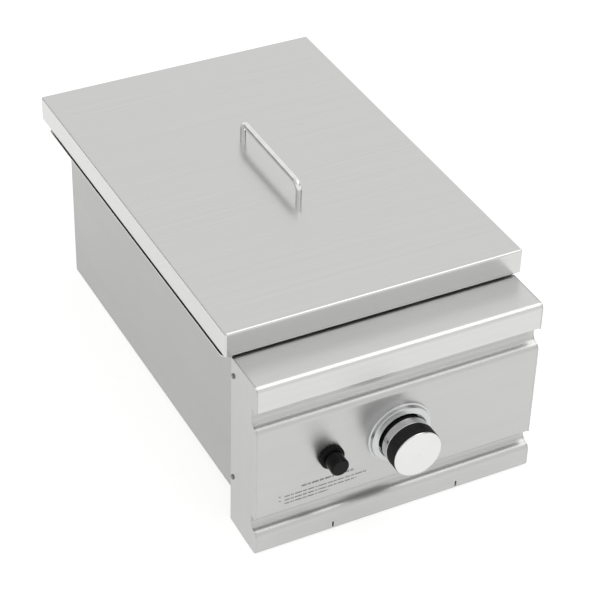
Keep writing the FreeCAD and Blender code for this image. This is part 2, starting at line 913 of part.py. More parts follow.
def make_top_frame():
    """The flat frame that lies on the counter and carries the pan."""
    body = new_body("top_frame")
    opening = pan_half + S.pan_clearance
    add(body, "XY", flange_top, deck,
        rounded_box(-frame_half, S.frame_front, frame_half, frame_back, S.frame_front_round, S.frame_back_round),
        rounded_box(-opening, S.pan_front - S.pan_clearance, opening, pan_back + S.pan_clearance,
                    S.pan_round, S.pan_round))
    place(body)


def pan_section(body, height, inset):
    """A section of the pan, this far inside its widest outline."""
    inset = as_size(inset)
    radius = S.pan_round - inset
    outline = rounded_box(-pan_half + inset, S.pan_front + inset, pan_half - inset,
                          pan_back - inset, radius, radius)
    return sketch_on(body, "XY", height, [outline])


def make_drip_pan():
    """The drawn burner bowl: sloping walls, a lip on the frame and a raised collar for the burner."""
    body = new_body("drip_pan")
    lofted(body, "PartDesign::AdditiveLoft",
           pan_section(body, pan_floor, S.pan_draft), pan_section(body, deck, 0))
    half = pan_half + S.pan_lip
    lip_round = S.pan_round + S.pan_lip
    add(body, "XY", deck, deck + S.pan_wall,
        rounded_box(-half, S.pan_front - S.pan_lip, half, pan_back + S.pan_lip, lip_round, lip_round))
    lofted(body, "PartDesign::SubtractiveLoft",
           pan_section(body, pan_floor + S.pan_wall, S.pan_draft + S.pan_wall),
           pan_section(body, deck + S.pan_wall, S.pan_wall))
    electrode = Circle(-electrode_radius, burner_depth, S.insulator_radius)
    add(body, "XY", pan_floor, pan_floor + S.pan_wall + S.pan_collar,
        Circle(0, burner_depth, S.pan_hole + S.pan_wall))
    cut(body, "XY", pan_floor, pan_floor + S.pan_wall + S.pan_collar, Circle(0, burner_depth, S.pan_hole))
    cut(body, "XY", pan_floor, pan_floor + S.pan_wall, electrode)
    place(body)


# Lid

handle_ends = ((lid_depth - S.handle_pitch) / 2, (lid_depth + S.handle_pitch) / 2)
bumper_across = lid_half - S.lid_wall - S.lid_hem / 2
bumper_depths = (S.bumper_inset_front, lid_depth - S.bumper_inset_back)


def bumper_circles(radius):
    """The same circle at the four bumpers."""
    return [Circle(bumper_across * side, depth, radius) for side in (-1, 1) for depth in bumper_depths]


def make_lid_shell():
    """The folded lid: a flat top, a skirt and a hem turned in at the foot."""
    body = new_body("lid_shell")
    add(body, "XY", lid_bottom, lid_top, box(-lid_half, 0, lid_half, lid_depth))
    round_edges(body, S.lid_round, lambda edge: edge.CenterOfMass.z > lid_bottom.value + 1e-6)
    inside = lid_half - S.lid_wall
    hem = inside - S.lid_hem
    cut(body, "XY", lid_bottom, lid_top - S.lid_wall,
        box(-hem, S.lid_wall + S.lid_hem, hem, lid_depth - S.lid_wall - S.lid_hem))
    cut(body, "XY", lid_bottom + S.lid_wall, lid_top - S.lid_wall,
        box(-inside, S.lid_wall, inside, lid_depth - S.lid_wall))
    cut(body, "XY", lid_top - S.lid_wall, lid_top,
        *[Circle(0, depth, S.handle_screw) for depth in handle_ends])
    cut(body, "XY", lid_bottom, lid_bottom + S.lid_wall, *bumper_circles(S.bumper_neck))
    place(body)


def make_lid_handle():
    """The polished rod handle, bent at both ends."""
    body = new_body("lid_handle")
    front, back = handle_ends
    bar = lid_top + S.handle_rise
    bend = S.handle_bend
    spine = [
        Corner(front, lid_top),
        Corner(front, bar - bend),
        Corner(front + bend, bar, (front + bend, bar - bend), clockwise=True),
        Corner(back - bend, bar),
        Corner(back, bar - bend, (back - bend, bar - bend), clockwise=True),
        Corner(back, lid_top),
    ]
    profile = sketch_on(body, "XY", lid_top, [Circle(0, front, S.handle_rod)])
    swept(body, "PartDesign::AdditivePipe", sketch_on(body, "YZ", 0, [spine], closed=False), profile)
    cut(body, "XY", lid_top, lid_top + S.handle_screw_depth,
        *[Circle(0, depth, S.handle_screw) for depth in handle_ends])
    place(body)


def make_handle_screws():
    """Two screws from under the lid into the handle's feet."""
    body = new_body("handle_screws")
    under = lid_top - S.lid_wall
    add(body, "XY", under, lid_top + S.handle_screw_depth - S.handle_screw / 2,
        *[Circle(0, depth, S.handle_screw) for depth in handle_ends])
    head = S.handle_screw * 1.3
    add(body, "XY", under - head, under, *[Circle(0, depth, S.handle_screw_head) for depth in handle_ends])
    place(body)


def make_lid_bumpers():
    """Four rubber bumpers pushed through the hem, which hold the lid off the frame."""
    body = new_body("lid_bumpers")
    add(body, "XY", deck + S.rest_gap, lid_bottom, *bumper_circles(S.bumper_radius))
    add(body, "XY", lid_bottom, lid_bottom + S.lid_wall, *bumper_circles(S.bumper_neck))
    above = lid_bottom + S.lid_wall
    add(body, "XY", above, above + S.lid_wall, *bumper_circles(S.bumper_neck + S.lid_wall))
    place(body)


# Cooking grate


def make_cooking_grate():
    """The welded wire grate: a rod frame, two rails and a row of bars."""
    body = new_body("cooking_grate")
    middle = deck + S.pan_wall + S.rest_gap + S.grate_rod
    half = pan_half + S.grate_inset
    front = S.pan_front - S.grate_inset
    back = pan_back + S.grate_inset
    outline = rounded_box(-half, front, half, back, S.grate_round, S.grate_round)
    profile = sketch_on(body, "YZ", 0, [Circle(front, middle, S.grate_rod)])
    half_way = Corner(0, front)
    ring = [half_way] + outline[1:] + [outline[0], Corner(0, front)]
    ring[-1].centre = None
    spine = sketch_on(body, "XY", middle, [ring], closed=False)
    swept(body, "PartDesign::AdditivePipe", spine, profile)
    for side in (-1, 1):
        add(body, "XZ", front, back, Circle(pan_half / 2 * side, middle, S.grate_bar))
    first = S.pan_front + S.grate_end_gap
    pitch = (pan_back - S.grate_end_gap - first) / (S.grate_bars - 1)
    bar = add(body, "YZ", -half, half, Circle(first, middle + S.grate_rod - S.grate_bar, S.grate_bar))
    along(body, bar, "Y_Axis", pitch, S.grate_bars)
    place(body)


# Burner

electrode_radius = S.crown_radius + S.cap_overhang + S.spark_gap + S.rod_radius
cap_bottom = crown_top + S.rest_gap


def make_burner_head():
    """The cast burner: flange, throat and flared bowl, with flame ports cut down through its crown."""
    body = new_body("burner_head")
    bore = S.throat_radius + S.fit
    crown_bore = S.crown_radius - S.crown_wall
    outline = [
        Corner(bore, bracket_top),
        Corner(S.head_flange, bracket_top),
        Corner(S.head_flange, bracket_top + S.head_flange_wall),
        Corner(S.head_neck, bracket_top + S.head_flange_wall),
        Corner(S.head_neck, head_neck_top),
        Corner(S.bowl_radius, crown_base),
        Corner(S.crown_radius, crown_base),
        Corner(S.crown_radius, crown_top),
        Corner(crown_bore, crown_top),
        Corner(crown_bore, crown_base + S.bowl_wall),
        Corner(bore, head_neck_top + S.bowl_wall),
    ]
    turned(body, outline)
    neck_top = head_neck_top.value
    round_edges(body, S.bowl_flare, lambda edge: abs(edge.CenterOfMass.z - neck_top) < 1e-6)
    half_wall = S.crown_wall / 2
    port = cut(body, "XY", crown_top - S.port_depth, crown_top,
               box(crown_bore - half_wall, -S.port_half, S.crown_radius + half_wall, S.port_half))
    around(body, port, S.ports)
    for side in (-1, 1):
        cut(body, "XY", bracket_top, bracket_top + S.head_flange_wall,
            Circle(S.burner_screw_spread * side, 0, S.burner_screw))
    place(body, 0, burner_depth, 0)


def make_burner_cap():
    """The loose cap: a domed disc with a ring that drops inside the crown."""
    body = new_body("burner_cap")
    ring_outside = S.crown_radius - S.crown_wall - S.cap_ring_gap
    ring_inside = ring_outside - S.cap_ring_wall
    rim = S.crown_radius + S.cap_overhang
    edge_top = cap_bottom + S.cap_edge
    outline = [
        Corner(0, cap_bottom),
        Corner(ring_inside, cap_bottom),
        Corner(ring_inside, cap_bottom - S.cap_ring_depth),
        Corner(ring_outside, cap_bottom - S.cap_ring_depth),
        Corner(ring_outside, cap_bottom),
        Corner(rim, cap_bottom),
        Corner(rim, edge_top - S.cap_edge / 2),
        Corner(rim - S.cap_edge / 2, edge_top, (rim - S.cap_edge / 2, edge_top - S.cap_edge / 2)),
        Corner(S.crown_radius / 2, edge_top + S.cap_crown),
        Corner(0, edge_top + S.cap_crown),
    ]
    turned(body, outline)
    place(body, 0, burner_depth, 0)


def make_burner_bracket():
    """The folded bracket that stands on the base and carries the burner."""
    body = new_body("burner_bracket")
    leg = S.bracket_half
    foot = leg + S.bracket_foot
    wall = S.bracket_wall
    outline = [
        Corner(-foot, base_top),
        Corner(-leg + wall, base_top),
        Corner(-leg + wall, bracket_top - wall),
        Corner(leg - wall, bracket_top - wall),
        Corner(leg - wall, base_top),
        Corner(foot, base_top),
        Corner(foot, base_top + wall),
        Corner(leg, base_top + wall),
        Corner(leg, bracket_top),
        Corner(-leg, bracket_top),
        Corner(-leg, base_top + wall),
        Corner(-foot, base_top + wall),
    ]
    half = S.bracket_depth / 2
    add(body, "XZ", -half, half, outline)
    holes = [Circle(S.burner_screw_spread * side, 0, S.burner_screw) for side in (-1, 1)]
    cut(body, "XY", bracket_top - wall, bracket_top, Circle(0, 0, S.bracket_hole), *holes)
    place(body, 0, burner_depth, 0)


def make_burner_screws():
    """Two screws through the burner's flange into the bracket."""
    body = new_body("burner_screws")
    places = [S.burner_screw_spread * side for side in (-1, 1)]
    head = bracket_top + S.head_flange_wall
    add(body, "XY", bracket_top - S.bracket_wall * 2, head,
        *[Circle(across, 0, S.burner_screw) for across in places])
    add(body, "XY", head, head + S.burner_screw,
        *[Circle(across, 0, S.burner_screw_head) for across in places])
    place(body, 0, burner_depth, 0)


def window_cuts(body, low, high, reach):
    """Four air windows, cut by two slots that cross."""
    half = S.window_half
    cut(body, "XZ", -reach, reach, box(-half, low, half, high))
    cut(body, "YZ", -reach, reach, box(-half, low, half, high))


def make_venturi_tube():
    """The mixing tube: a mouth with air windows, a cone and a bend up into the burner."""
    body = new_body("venturi_tube")
    mouth = -S.mouth_start
    cone_start = mouth - S.mouth_length
    cone_end = cone_start - S.cone_length
    far = -burner_depth
    bend = S.tube_bend
    turned(body, [
        Corner(0, mouth), Corner(0, cone_end), Corner(S.throat_radius, cone_end),
        Corner(S.mouth_radius, cone_start), Corner(S.mouth_radius, mouth),
    ])
    route = [
        Corner(0, cone_end),
        Corner(0, far + bend),
        Corner(bend, far, (bend, far + bend)),
        Corner(S.tube_rise, far),
    ]
    spine = sketch_on(body, "YZ", 0, [route], closed=False)
    bore = S.throat_radius - S.tube_wall
    throat = sketch_on(body, "XY", cone_end, [Circle(0, 0, S.throat_radius)])
    swept(body, "PartDesign::AdditivePipe", spine, throat)
    turned_cut(body, [
        Corner(0, mouth - S.tube_wall), Corner(0, cone_end), Corner(bore, cone_end),
        Corner(S.mouth_radius - S.tube_wall, cone_start),
        Corner(S.mouth_radius - S.tube_wall, mouth - S.tube_wall),
    ])
    inner_spine = sketch_on(body, "YZ", 0, [route], closed=False)
    inner_throat = sketch_on(body, "XY", cone_end, [Circle(0, 0, bore)])
    swept(body, "PartDesign::SubtractivePipe", inner_spine, inner_throat)
    cut(body, "XY", mouth - S.tube_wall, mouth, Circle(0, 0, S.mouth_hole))
    window_end = mouth - S.window_start
    window_cuts(body, window_end - S.window_length, window_end, S.mouth_radius * 1.5)
    place(body, 0, 0, knob_height, facing="front")


shutter_bore = S.mouth_radius + S.stem_fit
shutter_outside = shutter_bore + S.shutter_wall
shutter_screw_at = -S.mouth_start - S.shutter_start - S.shutter_screw_back


def make_air_shutter():
    """The sleeve that turns on the mouth and covers its air windows."""
    body = new_body("air_shutter")
    front = -S.mouth_start - S.shutter_start
    back = front - S.shutter_length
    turned(body, [
        Corner(shutter_bore, back), Corner(shutter_outside, back),
        Corner(shutter_outside, front), Corner(shutter_bore, front),
    ])
    window_end = -S.mouth_start - S.window_start
    window_cuts(body, window_end - S.window_length, window_end, S.mouth_radius * 1.5)
    cut(body, "XZ", shutter_bore - S.fit * 4, shutter_outside + S.fit * 4,
        Circle(0, shutter_screw_at, S.shutter_screw))
    place(body, 0, 0, knob_height, facing="front")


def make_shutter_screw():
    """The thumb screw that holds the air shutter."""
    body = new_body("shutter_screw")
    head = shutter_outside + S.shutter_screw
    add(body, "XZ", shutter_bore, head, Circle(0, shutter_screw_at, S.shutter_screw))
    add(body, "XZ", head, head + S.shutter_screw * 2, Circle(0, shutter_screw_at, S.shutter_screw * 2))
    place(body, 0, 0, knob_height, facing="front")


def make_electrode():
    """The spark electrode: a ceramic sleeve with a collar, its rod and the nut under the pan."""
    top = pan_floor + S.pan_wall + S.insulator_above
    bottom = pan_floor - S.insulator_below
    collar = pan_floor + S.pan_wall
    body = new_body("electrode_insulator")
    turned(body, [
        Corner(S.rod_radius, bottom), Corner(S.insulator_radius, bottom), Corner(S.insulator_radius, collar),
        Corner(S.insulator_collar, collar), Corner(S.insulator_collar, collar + S.insulator_radius),
        Corner(S.insulator_radius, collar + S.insulator_radius), Corner(S.insulator_radius, top),
        Corner(S.rod_radius, top),
    ])
    place(body, -electrode_radius, burner_depth, 0)
    body = new_body("electrode_rod")
    add(body, "XY", bottom - S.insulator_radius * 2, crown_top, Circle(0, 0, S.rod_radius))
    place(body, -electrode_radius, burner_depth, 0)
    body = new_body("electrode_nut")
    add(body, "XY", pan_floor - S.electrode_nut_height, pan_floor,
        hexagon(0, 0, S.electrode_nut_flats), Circle(0, 0, S.insulator_radius))
    place(body, -electrode_radius, burner_depth, 0)


# Valve

flange_back = -S.wall - S.valve_flange_wall
cover_back = -S.wall - S.valve_cover_length
core_front = cover_back - S.rest_gap
core_back = core_front - S.valve_core_length
bore_back = core_back - S.rest_gap
barrel_back = -S.wall - S.valve_length
outlet_end = barrel_back - S.outlet_length
core_bore_back = core_back + S.gas_way * 2
stem_back = core_bore_back + S.push_travel + S.stem_spring_closed


def place_on_knob_axis(body, spin=0.0):
    """Places a part on the knob's axis, with its heights counted from the panel's face."""
    place(body, 0, panel_face, knob_height, facing="front", spin=spin)


def make_valve_body():
    """The gas valve's casting: a flange behind the panel, a barrel, the outlet and the inlet."""
    body = new_body("valve_body")
    half_width = S.valve_flange_width / 2
    half_height = S.valve_flange_height / 2
    radius = S.valve_screw_head
    add(body, "XY", flange_back, -S.wall,
        rounded_box(-half_width, -half_height, half_width, half_height, radius, radius),
        Circle(S.valve_screw_spread, 0, S.valve_screw), Circle(-S.valve_screw_spread, 0, S.valve_screw))
    turned(body, [
        Corner(0, flange_back), Corner(0, outlet_end), Corner(S.outlet_radius, outlet_end),
        Corner(S.outlet_radius, barrel_back), Corner(S.valve_radius, barrel_back + S.outlet_radius / 2),
        Corner(S.valve_radius, flange_back),
    ])
    add(body, "YZ", 0, S.inlet_reach, Circle(0, -S.inlet_drop, S.inlet_radius))
    cut(body, "XY", bore_back, -S.wall, Circle(0, 0, S.valve_bore))
    cut(body, "XY", outlet_end + S.outlet_length, bore_back, Circle(0, 0, S.gas_way))
    cut(body, "XY", outlet_end, outlet_end + S.outlet_length, Circle(0, 0, S.outlet_bore))
    cut(body, "YZ", S.valve_bore - S.fit * 10, S.inlet_reach, Circle(0, -S.inlet_drop, S.gas_way))
    place_on_knob_axis(body)


def make_valve_cover():
    """The bush that closes the valve and guides the stem through the panel."""
    body = new_body("valve_cover")
    stem_bore = S.stem_radius + S.stem_fit
    turned(body, [
        Corner(stem_bore, cover_back), Corner(S.valve_bore, cover_back), Corner(S.valve_bore, -S.wall),
        Corner(S.valve_cover_snout, -S.wall), Corner(S.valve_cover_snout, S.bezel_floor),
        Corner(stem_bore, S.bezel_floor),
    ])
    place_on_knob_axis(body)


def make_valve_core():
    """The plug that turns in the valve, drilled for the stem and for the gas."""
    body = new_body("valve_core")
    radius = S.valve_bore - S.fit
    stem_bore = S.stem_radius + S.stem_fit
    turned(body, [
        Corner(0, core_back), Corner(radius, core_back),
        Corner(radius, core_front), Corner(stem_bore, core_front),
        Corner(stem_bore, core_bore_back), Corner(0, core_bore_back),
    ])
    place_on_knob_axis(body)


def make_valve_stem():
    """The stem from the valve plug to the knob's hub."""
    body = new_body("valve_stem")
    chamfer = S.stem_radius / 6
    low = stem_back
    high = S.stem_seat
    turned(body, [
        Corner(0, low), Corner(S.stem_radius - chamfer, low), Corner(S.stem_radius, low + chamfer),
        Corner(S.stem_radius, high - chamfer), Corner(S.stem_radius - chamfer, high), Corner(0, high),
    ])
    place_on_knob_axis(body)


def make_stem_spring():
    """The return spring under the stem, inside the plug."""
    body = new_body("stem_spring")
    outside = S.stem_radius - S.fit * 2
    add(body, "XY", core_bore_back, stem_back, Circle(0, 0, outside), Circle(0, 0, outside * 0.75))
    place_on_knob_axis(body)


def make_valve_screws():
    """Two screws through the bezel and the panel into the valve's flange."""
    body = new_body("valve_screws")
    places = [S.valve_screw_spread * side for side in (-1, 1)]
    add(body, "XY", flange_back - S.valve_screw / 2, S.bezel_floor,
        *[Circle(across, 0, S.valve_screw) for across in places])
    head = S.bezel_floor + screw_head_rise
    add(body, "XY", S.bezel_floor, head, *[Circle(across, 0, S.valve_screw_head) for across in places])
    place_on_knob_axis(body)


def make_orifice_jet():
    """The brass jet that fires gas into the mixing tube."""
    body = new_body("orifice_jet")
    outlet = panel_face - outlet_end
    hex_front = -outlet
    hex_back = hex_front - S.jet_hex
    tip = -S.jet_reach
    chamfer = S.jet_nose / 3
    add(body, "XY", hex_back, hex_front, hexagon(0, 0, S.jet_radius * 2))
    turned(body, [
        Corner(0, hex_back), Corner(S.outlet_bore, hex_back),
        Corner(S.outlet_bore, hex_front + S.outlet_bore), Corner(0, hex_front + S.outlet_bore),
    ])
    turned(body, [
        Corner(0, tip), Corner(S.jet_nose - chamfer, tip), Corner(S.jet_nose, tip + chamfer),
        Corner(S.jet_nose, hex_back), Corner(0, hex_back),
    ])
    cut(body, "XY", tip, hex_front + S.outlet_bore, Circle(0, 0, S.jet_hole))
    place(body, 0, 0, knob_height, facing="front")


# Gas pipe

inlet_depth = panel_face + S.inlet_drop


def make_gas_pipe():
    """The pipe from the valve's inlet round to the fitting at the back."""
    body = new_body("gas_pipe")
    bend = S.pipe_bend
    across = pipe_across
    end = rear_inside - S.fitting_collar
    route = [
        Corner(S.inlet_reach, inlet_depth),
        Corner(across - bend, inlet_depth),
        Corner(across, inlet_depth + bend, (across - bend, inlet_depth + bend)),
        Corner(across, end),
    ]
    steps = (("PartDesign::AdditivePipe", S.pipe_radius), ("PartDesign::SubtractivePipe", S.pipe_bore))
    for feature_type, radius in steps:
        spine = sketch_on(body, "XY", 0, [route], closed=False)
        profile = sketch_on(body, "YZ", S.inlet_reach, [Circle(inlet_depth, 0, radius)])
        swept(body, feature_type, spine, profile)
    place(body, 0, 0, knob_height)


def make_pipe_nut():
    """The nut that draws the pipe on to the valve's inlet."""
    body = new_body("pipe_nut")
    end = S.inlet_reach
    add(body, "YZ", end - S.nut_lap, end + S.nut_collar, hexagon(0, 0, S.nut_flats))
    cut(body, "YZ", end - S.nut_lap, end, Circle(0, 0, S.inlet_radius))
    cut(body, "YZ", end, end + S.nut_collar, Circle(0, 0, S.pipe_radius))
    place(body, 0, inlet_depth, knob_height)


def make_pipe_clips():
    """Two clips that hold the pipe off the side wall."""
    body = new_body("pipe_clips")
    low = S.clip_front
    high = S.clip_front + S.clip_width
    outside = S.pipe_radius + S.clip_wall
    foot = body_inside - pipe_across
    half = S.clip_wall / 2
    ring = add(body, "XZ", low, high, Circle(0, 0, outside))
    arm = add(body, "XZ", low, high, box(0, -half, foot, half))
    plate = add(body, "XZ", low, high, box(foot - S.clip_wall, -outside, foot, outside))
    bore = cut(body, "XZ", low, high, Circle(0, 0, S.pipe_radius))
    pattern = along(body, ring, "Y_Axis", S.clip_pitch, 2)
    pattern.Originals = [ring, arm, plate, bore]
    place(body, pipe_across, 0, knob_height)


def make_inlet_fitting():
    """The flare fitting through the back, where the gas supply screws on."""
    body = new_body("inlet_fitting")
    collar_back = -rear_inside
    collar_front = collar_back + S.fitting_collar
    shank_end = -body_back - S.locknut_height
    thread_start = shank_end - S.fitting_relief
    cone_end = -body_back - S.fitting_reach
    thread_end = cone_end + S.fitting_cone
    neck = S.fitting_radius - S.fitting_relief
    socket = S.pipe_radius + S.clip_wall
    add(body, "XY", collar_back, collar_front, hexagon(0, 0, S.fitting_flats))
    turned(body, [
        Corner(0, collar_front), Corner(socket, collar_front),
        Corner(socket, collar_front + S.fitting_socket), Corner(0, collar_front + S.fitting_socket),
    ])
    turned(body, [
        Corner(0, cone_end), Corner(S.fitting_bore + 1, cone_end), Corner(S.fitting_radius, thread_end),
        Corner(S.fitting_radius, thread_start), Corner(neck, thread_start), Corner(neck, shank_end),
        Corner(S.fitting_shank, shank_end), Corner(S.fitting_shank, collar_back), Corner(0, collar_back),
    ])
    cut(body, "XY", cone_end, collar_front, Circle(0, 0, S.fitting_bore))
    cut(body, "XY", collar_front, collar_front + S.fitting_socket, Circle(0, 0, S.pipe_radius))
    place(body, pipe_across, 0, knob_height, facing="front")


def make_inlet_locknut():
    """The nut outside the back that holds the fitting."""
    body = new_body("inlet_locknut")
    add(body, "XY", -body_back - S.locknut_height, -body_back,
        hexagon(0, 0, S.fitting_flats), Circle(0, 0, S.fitting_shank))
    place(body, pipe_across, 0, knob_height, facing="front")


# Knob

screw_head_rise = S.valve_screw * 0.7
skirt_start = S.bezel_floor + screw_head_rise + S.push_travel + S.knob_clearance
cavity_end = skirt_start + S.skirt_hollow
skirt_radius = S.grip_radius - S.skirt_step
ring_radius = S.grip_radius - S.ring_step
core_radius = ring_radius - S.ring_wall
bezel_opening = skirt_radius + S.bezel_gap
bezel_front_radius = bezel_opening + S.bezel_face
bezel_radius = bezel_front_radius + S.bezel_flange
set_screw_at = S.ring_start + S.ring_width / 3


def make_knob_bezel():
    """The stepped chrome ring round the knob, whose face falls away outwards."""
    body = new_body("knob_bezel")
    edge = S.bezel_round
    front = bezel_front_radius
    shoulder = S.bezel_rise - S.bezel_slope
    turned(body, [
        Corner(S.bezel_hole, 0),
        Corner(bezel_radius, 0),
        Corner(bezel_radius, S.bezel_step),
        Corner(front + edge, S.bezel_step + edge),
        Corner(front, shoulder - edge),
        Corner(front - edge, shoulder),
        Corner(bezel_opening + edge, S.bezel_rise),
        Corner(bezel_opening, S.bezel_rise - edge, (bezel_opening + edge, S.bezel_rise - edge)),
        Corner(bezel_opening, S.bezel_floor),
        Corner(S.bezel_hole, S.bezel_floor),
    ])
    for side in (-1, 1):
        cut(body, "XY", 0, S.bezel_floor, Circle(S.valve_screw_spread * side, 0, S.valve_screw))
    place_on_knob_axis(body)


def knob_bore(body, low, high):
    """The set screw's hole, which runs out from the stem through the knob and its ring."""
    cut(body, "YZ", low, high, Circle(0, set_screw_at, S.set_screw))


def make_knob_body():
    """The moulded knob: a hollow skirt, a hub on the stem and a core for the ring and the grip."""
    body = new_body("knob_body")
    turned(body, [
        Corner(S.stem_radius, skirt_start),
        Corner(S.hub_radius, skirt_start),
        Corner(S.hub_radius, cavity_end),
        Corner(skirt_radius - S.skirt_wall, cavity_end),
        Corner(skirt_radius - S.skirt_wall, skirt_start),
        Corner(skirt_radius, skirt_start),
        Corner(skirt_radius, S.ring_start),
        Corner(core_radius, S.ring_start),
        Corner(core_radius, S.grip_end),
        Corner(0, S.grip_end),
        Corner(0, S.stem_seat),
        Corner(S.stem_radius, S.stem_seat),
    ])
    knob_bore(body, S.stem_radius / 2, skirt_radius)
    place_on_knob_axis(body, S.index_angle.value)


def make_knob_ring():
    """The chrome ring on the knob, with a groove near its front."""
    body = new_body("knob_ring")
    end = S.ring_start + S.ring_width
    groove = S.ring_groove
    turned(body, [
        Corner(core_radius, S.ring_start),
        Corner(ring_radius - groove, S.ring_start),
        Corner(ring_radius, S.ring_start + groove),
        Corner(ring_radius, end - groove * 4),
        Corner(ring_radius - groove, end - groove * 3),
        Corner(ring_radius, end - groove * 2),
        Corner(ring_radius, end),
        Corner(core_radius, end),
    ])
    knob_bore(body, core_radius - S.set_screw, ring_radius + S.set_screw)
    place_on_knob_axis(body, S.index_angle.value)


def make_knob_set_screw():
    """The screw in the knob's side that grips the stem."""
    body = new_body("knob_set_screw")
    add(body, "YZ", S.stem_radius, ring_radius - S.ring_groove, Circle(0, set_screw_at, S.set_screw))
    place_on_knob_axis(body, S.index_angle.value)


def make_knob_grip():
    """The grooved rubber grip."""
    body = new_body("knob_grip")
    start = S.ring_start + S.ring_width
    edge = S.grip_groove
    turned(body, [
        Corner(core_radius, start),
        Corner(ring_radius, start),
        Corner(S.grip_radius, start + edge * 3),
        Corner(S.grip_radius, S.grip_end - edge),
        Corner(S.grip_radius - edge, S.grip_end),
        Corner(core_radius, S.grip_end),
    ])
    groove = cut(body, "XY", start, S.grip_end, Circle(S.grip_radius + S.grip_groove / 2, 0, S.grip_groove))
    around(body, groove, S.grip_grooves)
    place_on_knob_axis(body, S.index_angle.value)


def make_knob_cap():
    """The polished end cap, slightly domed."""
    body = new_body("knob_cap")
    rim = S.cap_rim
    radius = S.grip_radius - S.cap_step
    top = S.grip_end + rim
    sag = S.cap_dome
    flat = radius - rim
    dome = (flat * flat + sag * sag) / (sag * 2)
    turned(body, [
        Corner(0, S.grip_end),
        Corner(radius, S.grip_end),
        Corner(radius - rim, top, (radius - rim, S.grip_end)),
        Corner(0, knob_end, (0, knob_end - dome)),
    ])
    place_on_knob_axis(body, S.index_angle.value)


# Igniter


def place_on_igniter(body):
    """Places a part on the igniter's axis, with its heights counted from the panel's face."""
    place(body, igniter_across, panel_face, igniter_height, facing="front")


battery_front = S.button_front - S.button_top_wall
battery_back = battery_front - S.battery_length
bore_end = battery_back - S.button_travel - S.igniter_spring_closed
barrel_end = bore_end - S.igniter_end_wall


def make_igniter_nut():
    """The ribbed collar nut that clamps the igniter to the panel."""
    body = new_body("igniter_nut")
    radius = S.igniter_nut_radius
    edge = S.igniter_rib_cut
    turned(body, [
        Corner(S.igniter_neck, 0), Corner(radius, 0), Corner(radius, S.igniter_nut_height - edge),
        Corner(radius - edge, S.igniter_nut_height), Corner(S.igniter_neck, S.igniter_nut_height),
    ])
    groove = cut(body, "XY", 0, S.igniter_nut_height, Circle(radius + edge / 4, 0, edge))
    around(body, groove, S.igniter_ribs)
    place_on_igniter(body)


def make_igniter_housing():
    """The igniter's tube behind the panel, with the neck that the nut screws on."""
    body = new_body("igniter_housing")
    bore = S.button_radius + S.button_gap
    shoulder_back = -S.wall - S.igniter_shoulder_wall
    turned(body, [
        Corner(bore, S.igniter_neck_front), Corner(bore, bore_end),
        Corner(0, bore_end), Corner(0, barrel_end), Corner(S.igniter_barrel, barrel_end),
        Corner(S.igniter_barrel, shoulder_back), Corner(S.igniter_shoulder, shoulder_back),
        Corner(S.igniter_shoulder, -S.wall), Corner(S.igniter_neck, -S.wall),
        Corner(S.igniter_neck, S.igniter_neck_front),
    ])
    place_on_igniter(body)


def make_igniter_button():
    """The push button, hollow for the battery."""
    body = new_body("igniter_button")
    rim = S.button_radius - S.button_round
    shoulder = S.button_front - S.button_round
    inside = S.battery_radius + S.button_gap * 2
    turned(body, [
        Corner(inside, -S.button_back), Corner(S.button_radius, -S.button_back),
        Corner(S.button_radius, shoulder), Corner(rim, S.button_front, (rim, shoulder)),
        Corner(0, S.button_front), Corner(0, battery_front), Corner(inside, battery_front),
    ])
    place_on_igniter(body)


def make_igniter_battery():
    """The small cell in the igniter."""
    body = new_body("igniter_battery")
    shoulder = battery_front - S.battery_nub_height
    turned(body, [
        Corner(0, battery_back), Corner(S.battery_radius, battery_back), Corner(S.battery_radius, shoulder),
        Corner(S.battery_nub, shoulder), Corner(S.battery_nub, battery_front), Corner(0, battery_front),
    ])
    place_on_igniter(body)


def make_igniter_spring():
    """The contact spring behind the battery."""
    body = new_body("igniter_spring")
    radius = S.battery_radius
    add(body, "XY", bore_end, battery_back, Circle(0, 0, radius), Circle(0, 0, radius * 0.8))
    place_on_igniter(body)


def make_igniter_terminals():
    """Two brass tabs on the back of the igniter."""
    body = new_body("igniter_terminals")
    half_width = S.terminal_width / 2
    half_wall = S.terminal_wall / 2
    middles = [S.terminal_spread * side for side in (-1, 1)]
    tabs = [box(middle - half_wall, -half_width, middle + half_wall, half_width) for middle in middles]
    add(body, "XY", barrel_end - S.terminal_length, barrel_end, *tabs)
    place_on_igniter(body)


def build():
    """Makes every sub-part."""
    make_top_ledge()
    make_control_panel()
    make_bottom_rail()
    make_end_panel("left_end_panel", -1)
    make_end_panel("right_end_panel", 1)
    make_end_rivets()
    make_front_bulkhead()
    make_side_panel("left_side_panel", -1)
    make_side_panel("right_side_panel", 1)
    make_rear_panel()
    make_base_panel()
    make_rear_screws()
    make_top_frame()
    make_drip_pan()
    make_lid_shell()
    make_lid_handle()
    make_handle_screws()
    make_lid_bumpers()
    make_cooking_grate()
    make_burner_head()
    make_burner_cap()
    make_burner_bracket()
    make_burner_screws()
    make_venturi_tube()
    make_air_shutter()
    make_shutter_screw()
    make_electrode()
    make_valve_body()
    make_valve_cover()
    make_valve_core()
    make_valve_stem()
    make_stem_spring()
    make_valve_screws()
    make_orifice_jet()
    make_gas_pipe()
    make_pipe_nut()
    make_pipe_clips()
    make_inlet_fitting()
    make_inlet_locknut()
    make_knob_bezel()
    make_knob_body()
    make_knob_ring()
    make_knob_set_screw()
    make_knob_grip()
    make_knob_cap()
    make_igniter_nut()
    make_igniter_housing()
    make_igniter_button()
    make_igniter_battery()
    make_igniter_spring()
    make_igniter_terminals()


